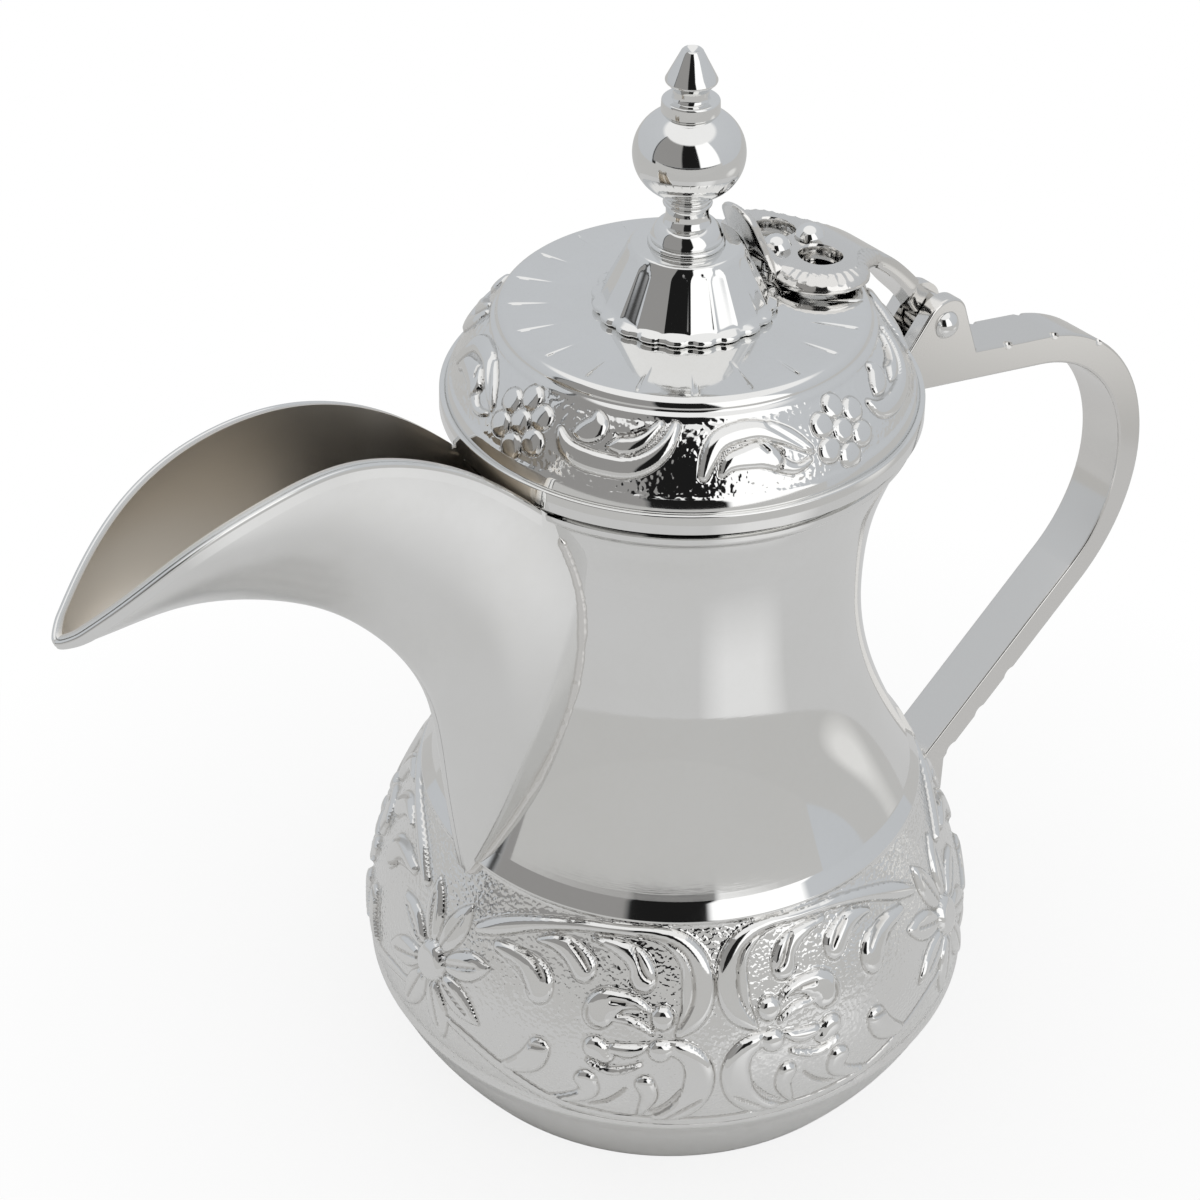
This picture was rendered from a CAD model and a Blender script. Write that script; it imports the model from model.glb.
"""Bright-plated dallah coffee pot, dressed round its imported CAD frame.

The frame is in metres, +Z up: the origin is the middle of the foot, the spout points to -X and
the handle to +X. Sizes in the classes are in millimetres and degrees, as on a bench drawing.
"""
from __future__ import annotations

import logging
import math
from collections.abc import Callable, Iterator, Sequence
from contextlib import contextmanager
from dataclasses import dataclass, replace
from enum import Enum

import bpy
import numpy as np
from mathutils import Matrix, Vector
from mathutils.kdtree import KDTree


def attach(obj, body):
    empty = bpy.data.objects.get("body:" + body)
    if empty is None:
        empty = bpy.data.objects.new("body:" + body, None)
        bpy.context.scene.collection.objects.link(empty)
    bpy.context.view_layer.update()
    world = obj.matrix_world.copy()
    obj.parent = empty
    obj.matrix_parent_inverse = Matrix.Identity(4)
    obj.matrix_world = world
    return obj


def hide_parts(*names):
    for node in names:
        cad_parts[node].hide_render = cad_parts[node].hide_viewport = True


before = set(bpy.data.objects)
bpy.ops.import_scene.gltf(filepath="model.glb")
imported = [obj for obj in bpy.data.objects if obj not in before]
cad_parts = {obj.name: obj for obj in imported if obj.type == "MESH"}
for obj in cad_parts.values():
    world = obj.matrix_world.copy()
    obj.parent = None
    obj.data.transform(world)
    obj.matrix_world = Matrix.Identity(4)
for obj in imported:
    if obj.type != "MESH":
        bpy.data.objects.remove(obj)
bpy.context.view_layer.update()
MM = 0.001
LOG = logging.getLogger("dallah")
Array = np.ndarray
Pair = tuple[float, float]
Triple = tuple[float, float, float]
Piece = bpy.types.Object
Socket = bpy.types.NodeSocket


class Body(Enum):
    """Moving bodies of the frame."""

    POT = "pot"
    LID = "lid"


class Slot(Enum):
    """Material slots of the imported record."""

    BRIGHT = "bright_plate"
    CAST = "cast_plate"


class Cut(Enum):
    """How one solid is worked with another."""

    TAKE_AWAY = "DIFFERENCE"
    JOIN = "UNION"


# Lines and outlines


def spline(knots: Array, values: Array, places: Array) -> Array:
    """Natural cubic through given values.

    Args:
        knots: Place of each value, rising.
        values: One row for each knot.
        places: Where the curve is wanted.

    Returns:
        One row for each place.
    """
    count = len(knots)
    step = np.diff(knots)
    slope = np.diff(values, axis=0) / step[:, None]
    grid = np.eye(count)
    right = np.zeros_like(values, dtype=float)
    for row in range(1, count - 1):
        grid[row, row - 1:row + 2] = step[row - 1], 2 * (step[row - 1] + step[row]), step[row]
        right[row] = 6 * (slope[row] - slope[row - 1])
    bend = np.linalg.solve(grid, right)
    index = np.clip(np.searchsorted(knots, places, side="right") - 1, 0, count - 2)
    gap = (places - knots[index])[:, None]
    width = step[index][:, None]
    first = slope[index] - width * (2 * bend[index] + bend[index + 1]) / 6
    third = (bend[index + 1] - bend[index]) / (6 * width)
    return values[index] + gap * (first + gap * (bend[index] / 2 + gap * third))


def run_length(points: Array) -> Array:
    """Distance of each point along its line."""
    return np.concatenate([[0.0], np.cumsum(np.linalg.norm(np.diff(points, axis=0), axis=1))])


def smooth_line(points: Sequence[Sequence[float]], count: int) -> Array:
    """Cubic line through points, evenly spaced along it.

    Args:
        points: Points that the line passes; the first two columns are its place.
        count: Number of points wanted.

    Returns:
        The points of the line, with the other columns carried along.
    """
    rows = np.array(points, dtype=float)
    knots = run_length(rows[:, :2])
    return spline(knots, rows, np.linspace(0.0, knots[-1], count))


def ease(low: float, high: float, value: Array) -> Array:
    """Smooth step from 0 at low to 1 at high."""
    share = np.clip((value - low) / (high - low), 0.0, 1.0)
    return share * share * (3 - 2 * share)


class Outline:
    """Pen that draws a turned section as radius and height."""

    def __init__(self, radius: float, height: float) -> None:
        """Put the pen down."""
        self.points: list[Pair] = [(radius, height)]

    def line(self, radius: float, height: float, count: int = 1) -> Outline:
        """Draw a straight run in so many steps.

        Args:
            radius: Radius at its end.
            height: Height at its end.
            count: Number of steps.

        Returns:
            The pen itself.
        """
        start = np.array(self.points[-1])
        for share in np.linspace(0, 1, count + 1)[1:]:
            self.points.append(tuple(start + (np.array([radius, height]) - start) * share))
        return self

    def bend(self, hold: Sequence[float], hold_end: Sequence[float],
             end: Sequence[float], count: int) -> Outline:
        """Draw a curve that leaves and arrives along its two holds.

        Args:
            hold: Point that the curve sets off towards.
            hold_end: Point that it arrives from.
            end: Where it ends.
            count: Number of steps.

        Returns:
            The pen itself.
        """
        poles = [np.array(p, dtype=float) for p in (self.points[-1], hold, hold_end, end)]
        for t in np.linspace(0, 1, count + 1)[1:]:
            shares = ((1 - t) ** 3, 3 * t * (1 - t) ** 2, 3 * t * t * (1 - t), t ** 3)
            self.points.append(tuple(sum(share * pole for share, pole in zip(shares, poles))))
        return self

    def arc(self, centre: Sequence[float], start: float, end: float,
            radius: float, count: int) -> Outline:
        """Draw an arc.

        Args:
            centre: Its centre.
            start: Angle of its first point in degrees.
            end: Angle of its last point.
            radius: Its radius.
            count: Number of steps.

        Returns:
            The pen itself.
        """
        for angle in np.radians(np.linspace(start, end, count + 1)):
            point = (centre[0] + radius * math.cos(angle), centre[1] + radius * math.sin(angle))
            if math.dist(point, self.points[-1]) > 1e-4:
                self.points.append(point)
        return self

    def through(self, middle: Sequence[float], end: Sequence[float], count: int) -> Outline:
        """Draw the arc that passes through a middle point to an end.

        Args:
            middle: Point that the arc passes.
            end: Where it ends.
            count: Number of steps.

        Returns:
            The pen itself.
        """
        ax, ay = self.points[-1]
        bx, by = middle[0] - ax, middle[1] - ay
        cx, cy = end[0] - ax, end[1] - ay
        cross = 2 * (bx * cy - by * cx)
        ux = (cy * (bx * bx + by * by) - by * (cx * cx + cy * cy)) / cross
        uy = (bx * (cx * cx + cy * cy) - cx * (bx * bx + by * by)) / cross
        start = math.atan2(-uy, -ux)
        sweep = math.atan2(cy - uy, cx - ux) - start
        turn = math.atan2(by - uy, bx - ux) - start
        sweep, turn = sweep % math.tau, turn % math.tau
        if turn > sweep:
            sweep -= math.tau
        first, last = math.degrees(start), math.degrees(start + sweep)
        return self.arc((ax + ux, ay + uy), first, last, math.hypot(ux, uy), count)

    def drawn(self) -> Array:
        """The points as rows of radius and height."""
        return np.array(self.points)


# Bench


class Bench:
    """Hand tools that every piece is made with."""

    most_sectors = 32
    bevel_from = math.radians(30.0)

    @staticmethod
    def lay_down() -> None:
        """Leave edit mode and let go of everything that is selected."""
        if bpy.context.object and bpy.context.object.mode != "OBJECT":
            bpy.ops.object.mode_set(mode="OBJECT")
        bpy.ops.object.select_all(action="DESELECT")

    @classmethod
    def take(cls, piece: Piece) -> None:
        """Select one piece alone.

        Args:
            piece: The piece.
        """
        cls.lay_down()
        piece.select_set(True)
        bpy.context.view_layer.objects.active = piece

    @staticmethod
    def started(name: str) -> Piece:
        """The primitive just added, under its own name.

        Args:
            name: Its name.

        Returns:
            The primitive.
        """
        piece = bpy.context.object
        piece.name = piece.data.name = name
        return piece

    @staticmethod
    def places(piece: Piece) -> Array:
        """Where the vertices are, in millimetres.

        Args:
            piece: The piece.

        Returns:
            One row for each vertex.
        """
        spots = np.empty(len(piece.data.vertices) * 3)
        piece.data.vertices.foreach_get("co", spots)
        return spots.reshape(-1, 3) / MM

    @staticmethod
    def finder(spots: Array) -> KDTree:
        """Search tree over places.

        Args:
            spots: The places, one row each.

        Returns:
            The tree, which answers with row numbers.
        """
        near = KDTree(len(spots))
        for index, spot in enumerate(spots):
            near.insert(spot, index)
        near.balance()
        return near

    @staticmethod
    def put(piece: Piece, spots: Array) -> None:
        """Move the vertices to places in millimetres."""
        piece.data.vertices.foreach_set("co", (spots * MM).ravel())
        piece.data.update()

    @classmethod
    @contextmanager
    def editing(cls, piece: Piece) -> Iterator[None]:
        """Edit mode, with the whole of one piece selected.

        Args:
            piece: The piece.

        Returns:
            A context that ends in object mode.
        """
        cls.take(piece)
        bpy.ops.object.mode_set(mode="EDIT")
        bpy.ops.mesh.select_all(action="SELECT")
        yield
        bpy.ops.object.mode_set(mode="OBJECT")

    @classmethod
    def modified(cls, piece: Piece, kind: str, **settings: object) -> None:
        """Set up one modifier and apply it.

        Args:
            piece: The piece.
            kind: Type of the modifier.
            **settings: Its settings by name.
        """
        cls.take(piece)
        tool = piece.modifiers.new("work", kind)
        for name, value in settings.items():
            setattr(tool, name, value)
        bpy.ops.object.modifier_apply(modifier=tool.name)

    @classmethod
    def close(cls, piece: Piece, reach: float = 0.002) -> None:
        """Merge seams and poles, drop what is loose and turn the faces outwards.

        Args:
            piece: The piece.
            reach: Vertices nearer than this are merged, in millimetres.
        """
        with cls.editing(piece):
            bpy.ops.mesh.remove_doubles(threshold=reach * MM)
            bpy.ops.mesh.dissolve_degenerate(threshold=1e-7)
            bpy.ops.mesh.delete_loose(use_verts=True, use_edges=True, use_faces=False)
            bpy.ops.mesh.select_all(action="SELECT")
            bpy.ops.mesh.normals_make_consistent(inside=False)

    @classmethod
    def soften(cls, piece: Piece, angle: float = 32.0, weigh: bool = False) -> None:
        """Shade smooth up to an angle, and let flat faces stay flat where asked.

        Args:
            piece: The piece.
            angle: Edges sharper than this stay sharp, in degrees.
            weigh: Weigh the shading by face area.
        """
        cls.take(piece)
        bpy.ops.object.shade_smooth_by_angle(angle=math.radians(angle))
        if weigh:
            cls.modified(piece, "WEIGHTED_NORMAL", keep_sharp=True, weight=100)

    @classmethod
    def turned(cls, name: str, outline: Array, steps: int) -> Piece:
        """Spin a closed outline round the Z axis: one sector, and copies of it all round.

        Args:
            name: Name of the piece.
            outline: Radius and height of each point.
            steps: Steps round the axis.

        Returns:
            The closed piece.
        """
        cls.lay_down()
        bpy.ops.mesh.primitive_circle_add(vertices=len(outline), radius=MM, fill_type="NOTHING")
        piece = cls.started(name)
        cls.put(piece, np.column_stack([outline[:, 0], np.zeros(len(outline)), outline[:, 1]]))
        parts = max(part for part in range(2, cls.most_sectors + 1) if steps % part == 0)
        axis = {"center": (0, 0, 0), "axis": (0, 0, 1)}
        with cls.editing(piece):
            bpy.ops.mesh.spin(steps=steps // parts, angle=math.tau / parts, **axis)
            bpy.ops.mesh.select_all(action="SELECT")
            bpy.ops.mesh.spin(steps=parts - 1, dupli=True, angle=math.tau * (parts - 1) / parts, **axis)
        cls.close(piece)
        return piece

    @classmethod
    def spun(cls, name: str, pen: Outline, steps: int, angle: float = 32.0) -> Piece:
        """Spin what a pen has drawn and shade it smooth up to an angle.

        Args:
            name: Name of the piece.
            pen: Pen with the closed outline.
            steps: Steps round the axis.
            angle: Edges sharper than this stay sharp, in degrees.

        Returns:
            The closed piece.
        """
        piece = cls.turned(name, pen.drawn(), steps)
        cls.soften(piece, angle)
        return piece

    @classmethod
    def draped(cls, name: str, table: Array) -> Piece:
        """Lay a grid over a table of places.

        Args:
            name: Name of the piece.
            table: Places by row and column, three numbers each.

        Returns:
            The sheet, open at its edges where they don't meet.
        """
        rows, columns = table.shape[:2]
        cls.lay_down()
        bpy.ops.mesh.primitive_grid_add(
            x_subdivisions=rows - 1, y_subdivisions=columns - 1, size=2 * MM)
        piece = cls.started(name)
        spots = cls.places(piece)
        row = np.rint((spots[:, 0] + 1) / 2 * (rows - 1)).astype(int)
        column = np.rint((spots[:, 1] + 1) / 2 * (columns - 1)).astype(int)
        cls.put(piece, table[row, column])
        return piece

    @classmethod
    def slab(cls, name: str, outline: Array, half: float) -> Piece:
        """Extrude a closed side view across the pot.

        Args:
            name: Name of the piece.
            outline: X and Z of each point.
            half: Half its width.

        Returns:
            The closed slab.
        """
        cls.lay_down()
        bpy.ops.mesh.primitive_circle_add(vertices=len(outline), radius=MM, fill_type="NGON")
        piece = cls.started(name)
        cls.put(piece, np.column_stack([outline[:, 0], np.full(len(outline), -half), outline[:, 1]]))
        with cls.editing(piece):
            bpy.ops.mesh.extrude_region_move(TRANSFORM_OT_translate={"value": (0, 2 * half * MM, 0)})
        cls.close(piece)
        return piece

    @classmethod
    def bevelled(cls, piece: Piece, width: float, segments: int) -> None:
        """Round every sharp edge, to a width and in so many steps."""
        cls.modified(piece, "BEVEL", width=width * MM, segments=segments, limit_method="ANGLE",
                     angle_limit=cls.bevel_from, use_clamp_overlap=False)

    @classmethod
    def worked(cls, piece: Piece, tools: Sequence[Piece], how: Cut) -> None:
        """Join solids to a piece or take them away from it, and throw the solids away.

        Args:
            piece: The piece.
            tools: The solids.
            how: Join or take away.
        """
        for tool in tools:
            cls.modified(piece, "BOOLEAN", operation=how.value, solver="EXACT", object=tool)
            mesh = tool.data
            bpy.data.objects.remove(tool)
            bpy.data.meshes.remove(mesh)

    @classmethod
    def rod(cls, radius: float, length: float, place: Sequence[float],
            across: bool, sides: int = 64) -> Piece:
        """Plain rod for cutting and joining.

        Args:
            radius: Its radius.
            length: Its length.
            place: Its middle.
            across: It lies along Y; otherwise it stands.
            sides: Sides round it.

        Returns:
            The rod.
        """
        cls.lay_down()
        bpy.ops.mesh.primitive_cylinder_add(vertices=sides, radius=radius * MM, depth=length * MM)
        piece = cls.started("rod")
        turn = Matrix.Rotation(math.pi / 2, 4, "X") if across else Matrix()
        piece.data.transform(Matrix.Translation(Vector(place) * MM) @ turn)
        return piece

    @classmethod
    def block(cls, low: Sequence[float], high: Sequence[float]) -> Piece:
        """Plain block for cutting, between two corners.

        Args:
            low: Its lowest corner.
            high: Its highest corner.

        Returns:
            The block.
        """
        cls.lay_down()
        bpy.ops.mesh.primitive_cube_add(size=MM)
        piece = cls.started("block")
        lowest, highest = np.array(low), np.array(high)
        cls.put(piece, (lowest + highest) / 2 + cls.places(piece) * (highest - lowest))
        return piece

    @classmethod
    def ball(cls, radius: float, place: Sequence[float]) -> Piece:
        """Plain ball for cutting.

        Args:
            radius: Its radius.
            place: Its middle.

        Returns:
            The ball.
        """
        cls.lay_down()
        bpy.ops.mesh.primitive_uv_sphere_add(segments=32, ring_count=16, radius=radius * MM)
        piece = cls.started("ball")
        piece.data.transform(Matrix.Translation(Vector(place) * MM))
        return piece

    @staticmethod
    def marked(piece: Piece, name: str, values: Array) -> None:
        """Write one value for each vertex as an attribute."""
        layer = piece.data.attributes.new(name, "FLOAT", "POINT")
        layer.data.foreach_set("value", values.astype(np.float32))


# Finishes


class Sheet:
    """Node tree with short words for adding and joining nodes."""

    def __init__(self, tree: bpy.types.NodeTree) -> None:
        """Take a tree in hand."""
        self.tree = tree

    @classmethod
    def fresh(cls, owner: bpy.types.Material | bpy.types.World) -> Sheet:
        """Emptied node tree of a new material or world.

        Args:
            owner: The material or world.

        Returns:
            Its sheet.
        """
        owner.use_nodes = True
        owner.node_tree.nodes.clear()
        return cls(owner.node_tree)

    def plug(self, socket: Socket, value: object) -> None:
        """Link an input to another socket, or give it a value.

        Args:
            socket: The input.
            value: A socket to link, or a plain value.
        """
        if isinstance(value, Socket):
            self.tree.links.new(value, socket)
        else:
            socket.default_value = value

    def add(self, kind: str, **settings: object) -> bpy.types.Node:
        """Add a node; settings that are not its own properties go to its input sockets.

        Args:
            kind: Node type.
            **settings: Properties, or values and links of inputs by socket name or number.

        Returns:
            The node.
        """
        node = self.tree.nodes.new(kind)
        for name, value in settings.items():
            if hasattr(node, name):
                setattr(node, name, value)
            else:
                place = int(name[1:]) if name[1:].isdigit() else name.replace("_", " ")
                self.plug(node.inputs[place], value)
        return node

    def place(self) -> Socket:
        """Where a shaded point is, in metres."""
        return self.add("ShaderNodeTexCoord").outputs["Object"]

    def noted(self, name: str) -> Socket:
        """Value that a piece carries at each vertex."""
        return self.add("ShaderNodeAttribute", attribute_name=name).outputs["Fac"]

    def math(self, operation: str, *terms: object) -> Socket:
        """One sum; the terms are numbers or sockets."""
        names = {f"i{index}": term for index, term in enumerate(terms)}
        return self.add("ShaderNodeMath", operation=operation, **names).outputs[0]

    def vector(self, operation: str, *terms: object) -> bpy.types.Node:
        """One sum with vectors."""
        names = {f"i{index}": term for index, term in enumerate(terms)}
        return self.add("ShaderNodeVectorMath", operation=operation, **names)

    def span(self, value: object, low: object, high: object, least: object, most: object) -> Socket:
        """Value moved from one range to another, held at its ends."""
        return self.add("ShaderNodeMapRange", Value=value, From_Min=low, From_Max=high,
                        To_Min=least, To_Max=most).outputs["Result"]

    def blend(self, share: object, first: object, second: object) -> Socket:
        """Two colours mixed by a share."""
        return self.add("ShaderNodeMix", data_type="RGBA", clamp_factor=True,
                        i0=share, i6=first, i7=second).outputs[2]


class Effects:
    """Shader groups that several finishes share, each built on first use."""

    @classmethod
    def node(cls, sheet: Sheet, name: str, **settings: object) -> bpy.types.Node:
        """Node that runs one of the groups.

        Args:
            sheet: Sheet of the material.
            name: Name of the group.
            **settings: Values and links of its inputs.

        Returns:
            The node.
        """
        makers = {maker.__name__: maker for maker in (cls.haze, cls.lathe_lines, cls.punched, cls.chased)}
        if name not in bpy.data.node_groups:
            makers[name]()
        return sheet.add("ShaderNodeGroup", node_tree=bpy.data.node_groups[name], **settings)

    @staticmethod
    def group(name: str, inputs: Sequence[str], outputs: Sequence[str]) -> tuple:
        """Start a shader group of plain numbers.

        Args:
            name: Its name.
            inputs: Names of its inputs.
            outputs: Names of its outputs.

        Returns:
            Its sheet, the sockets that give its inputs and the sockets that take its outputs.
        """
        tree = bpy.data.node_groups.new(name, "ShaderNodeTree")
        for labels, way in ((inputs, "INPUT"), (outputs, "OUTPUT")):
            for label in labels:
                tree.interface.new_socket(name=label, in_out=way, socket_type="NodeSocketFloat")
        sheet = Sheet(tree)
        return sheet, sheet.add("NodeGroupInput").outputs, sheet.add("NodeGroupOutput").inputs

    @classmethod
    def haze(cls) -> None:
        """Handling haze: cloudy patches and fine specks that change the gloss."""
        sheet, given, out = cls.group("haze", ("Patch", "Clean", "Hazy"), ("Roughness", "Cloud"))
        place = sheet.place()
        patch = sheet.add("ShaderNodeTexNoise", Vector=place, Scale=given["Patch"], Detail=3.0, Roughness=0.6)
        speck = sheet.add("ShaderNodeTexNoise", Vector=place, Scale=620.0, Detail=2.0, Roughness=0.7)
        broad = sheet.math("MULTIPLY", patch.outputs["Fac"], 0.75)
        cloud = sheet.math("MULTIPLY_ADD", speck.outputs["Fac"], 0.25, broad)
        sheet.plug(out["Roughness"], sheet.span(cloud, 0.38, 0.66, given["Clean"], given["Hazy"]))
        sheet.plug(out["Cloud"], sheet.span(cloud, 0.40, 0.66, 0.0, 1.0))

    @classmethod
    def lathe_lines(cls) -> None:
        """Polishing lines that run round the axis, as a height."""
        sheet, given, out = cls.group("lathe_lines", ("Fineness",), ("Height",))
        x, y, z = sheet.add("ShaderNodeSeparateXYZ", i0=sheet.place()).outputs
        squares = (sheet.math("MULTIPLY", side, side) for side in (x, y))
        reach = sheet.math("SQRT", sheet.math("ADD", *squares))
        turn = sheet.math("MULTIPLY", sheet.math("ARCTAN2", y, x), 0.004)
        spread = sheet.add("ShaderNodeCombineXYZ", i0=reach, i1=turn, i2=z).outputs[0]
        line = sheet.add("ShaderNodeTexNoise", Vector=spread, Scale=given["Fineness"], Detail=2.0)
        sheet.plug(out["Height"], line.outputs["Fac"])

    @classmethod
    def punched(cls) -> None:
        """Punched ground: small close pits, as a height."""
        sheet, given, out = cls.group("punched", ("Mask", "Pitch"), ("Height",))
        place = sheet.place()
        coarse = sheet.math("MULTIPLY", given["Pitch"], 0.8)
        warp = sheet.add("ShaderNodeTexNoise", Vector=place, Scale=coarse, Detail=1.0)
        push = sheet.add("ShaderNodeVectorMath", operation="SCALE", i0=warp.outputs["Color"], Scale=0.0009)
        moved = sheet.vector("ADD", place, push.outputs[0]).outputs[0]
        cells = sheet.add("ShaderNodeTexVoronoi", feature="SMOOTH_F1", Vector=moved, Scale=given["Pitch"])
        dome = sheet.span(cells.outputs["Distance"], 0.12, 0.75, 1.0, 0.0)
        sheet.plug(out["Height"], sheet.math("MULTIPLY", dome, given["Mask"]))

    @classmethod
    def chased(cls) -> None:
        """Chaser's lines: a crease round each raised shape and the grooves in it, as a depth."""
        sheet, given, out = cls.group("chased", ("Edge", "Groove"), ("Depth",))
        off = sheet.math("ABSOLUTE", sheet.math("ADD", given["Edge"], 0.12))
        crease = sheet.span(off, 0.05, 0.34, 0.8, 0.0)
        groove = sheet.span(given["Groove"], -0.15, 0.3, 0.0, 1.0)
        sheet.plug(out["Depth"], sheet.math("MAXIMUM", crease, groove))


@dataclass(frozen=True)
class Finish:
    """One plated or turned metal finish."""

    name: str
    bright: Triple
    dull: Triple
    clean: float
    hazy: float
    patch: float = 34.0
    line_depth: float = 0.0
    line_fineness: float = 3200.0
    punched: bool = False
    pitch: float = 1100.0
    punch_depth: float = 0.00009
    chase_depth: float = 0.00016
    soiled: Triple = (0.42, 0.40, 0.37)
    soil: float = 0.55
    clouding: float = 0.35
    lining_haze: float = 0.16
    lining: Triple | None = None

    def material(self) -> bpy.types.Material:
        """The material of this finish, made on first use.

        Returns:
            A metal whose colour, gloss and normal come from its nodes.
        """
        ready = bpy.data.materials.get(self.name)
        if ready:
            return ready
        made = bpy.data.materials.new(self.name)
        sheet = Sheet.fresh(made)
        haze = Effects.node(sheet, "haze", Patch=self.patch, Clean=self.clean, Hazy=self.hazy).outputs
        shade = sheet.math("MULTIPLY", haze["Cloud"], self.clouding)
        gloss = haze["Roughness"]
        colour = sheet.blend(shade, (*self.bright, 1), (*self.dull, 1))
        reliefs: list[tuple[float, Socket]] = []
        if self.lining:
            inner = sheet.noted("inner")
            colour = sheet.blend(inner, colour, (*self.lining, 1))
            gloss = sheet.math("MULTIPLY_ADD", inner, self.lining_haze, gloss)
        if self.punched:
            ground, edge, groove = (sheet.noted(name) for name in ("ground", "edge", "groove"))
            pits = Effects.node(sheet, "punched", Mask=ground, Pitch=self.pitch).outputs["Height"]
            lines = Effects.node(sheet, "chased", Edge=edge, Groove=groove).outputs["Depth"]
            colour = sheet.blend(sheet.math("MULTIPLY", lines, self.soil), colour, (*self.soiled, 1))
            reliefs += [(self.punch_depth, pits), (self.chase_depth, sheet.math("SUBTRACT", 1.0, lines))]
        if self.line_depth:
            turned = Effects.node(sheet, "lathe_lines", Fineness=self.line_fineness)
            reliefs.append((self.line_depth, turned.outputs["Height"]))
        bump = {}
        for depth, height in reliefs:
            node = sheet.add("ShaderNodeBump", Strength=1.0, Distance=depth, Height=height, **bump)
            bump = {"Normal": node.outputs["Normal"]}
        metal = sheet.add(
            "ShaderNodeBsdfPrincipled", Metallic=1.0, Roughness=gloss, Base_Color=colour, **bump)
        sheet.add("ShaderNodeOutputMaterial", Surface=metal.outputs["BSDF"])
        return made


MIRROR_PLATE = Finish(
    "mirror_plate", (0.865, 0.865, 0.858), (0.815, 0.81, 0.79), 0.03, 0.065, line_depth=0.0000012)
LINED_PLATE = replace(MIRROR_PLATE, name="lined_plate", lining=(0.76, 0.715, 0.65))
SATIN_PLATE = replace(LINED_PLATE, name="satin_plate", clean=0.14, hazy=0.20)
EMBOSSED_PLATE = Finish(
    "embossed_plate", (0.865, 0.865, 0.858), (0.80, 0.79, 0.77), 0.035, 0.075, punched=True)
EMBOSSED_LID = replace(EMBOSSED_PLATE, name="embossed_lid", punch_depth=0.0001, pitch=850.0)
CAST_PLATE = Finish("cast_plate", (0.97, 0.97, 0.965), (0.93, 0.92, 0.905), 0.06, 0.12, patch=60.0)
BASE_PLATE = Finish(
    "turned_base", (0.78, 0.77, 0.75), (0.62, 0.60, 0.57), 0.16, 0.30,
    line_depth=0.00002, line_fineness=1500.0)
BRASS = Finish("bare_brass", (0.78, 0.62, 0.34), (0.55, 0.40, 0.20), 0.20, 0.38, patch=160.0)


def settle(piece: Piece, finish: Finish, body: Body, slot: Slot, *nodes: str) -> None:
    """Give a finished piece its metal and its place in the frame.

    Args:
        piece: The piece.
        finish: Its finish.
        body: The body that it rides on.
        slot: The record's slot for its material.
        *nodes: CAD nodes that it stands for.
    """
    piece.data.materials.clear()
    piece.data.materials.append(finish.material())
    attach(piece, body.value)
    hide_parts(*nodes)
    faces = len(piece.data.polygons)
    LOG.info("%s: %d faces in %s, for %s", piece.name, faces, finish.name, ", ".join(nodes))


# Ornament


@dataclass(frozen=True)
class Stroke:
    """One chased mark: points with a half width each, and how far it stands up (or down)."""

    points: tuple[Triple, ...]
    rise: float

    def unrolled(self, start: float, scale: float) -> Stroke:
        """The mark with its angles turned into lengths along the band from a start."""
        return Stroke(
            tuple(((angle - start) * scale, up, half) for angle, up, half in self.points), self.rise)


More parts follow.
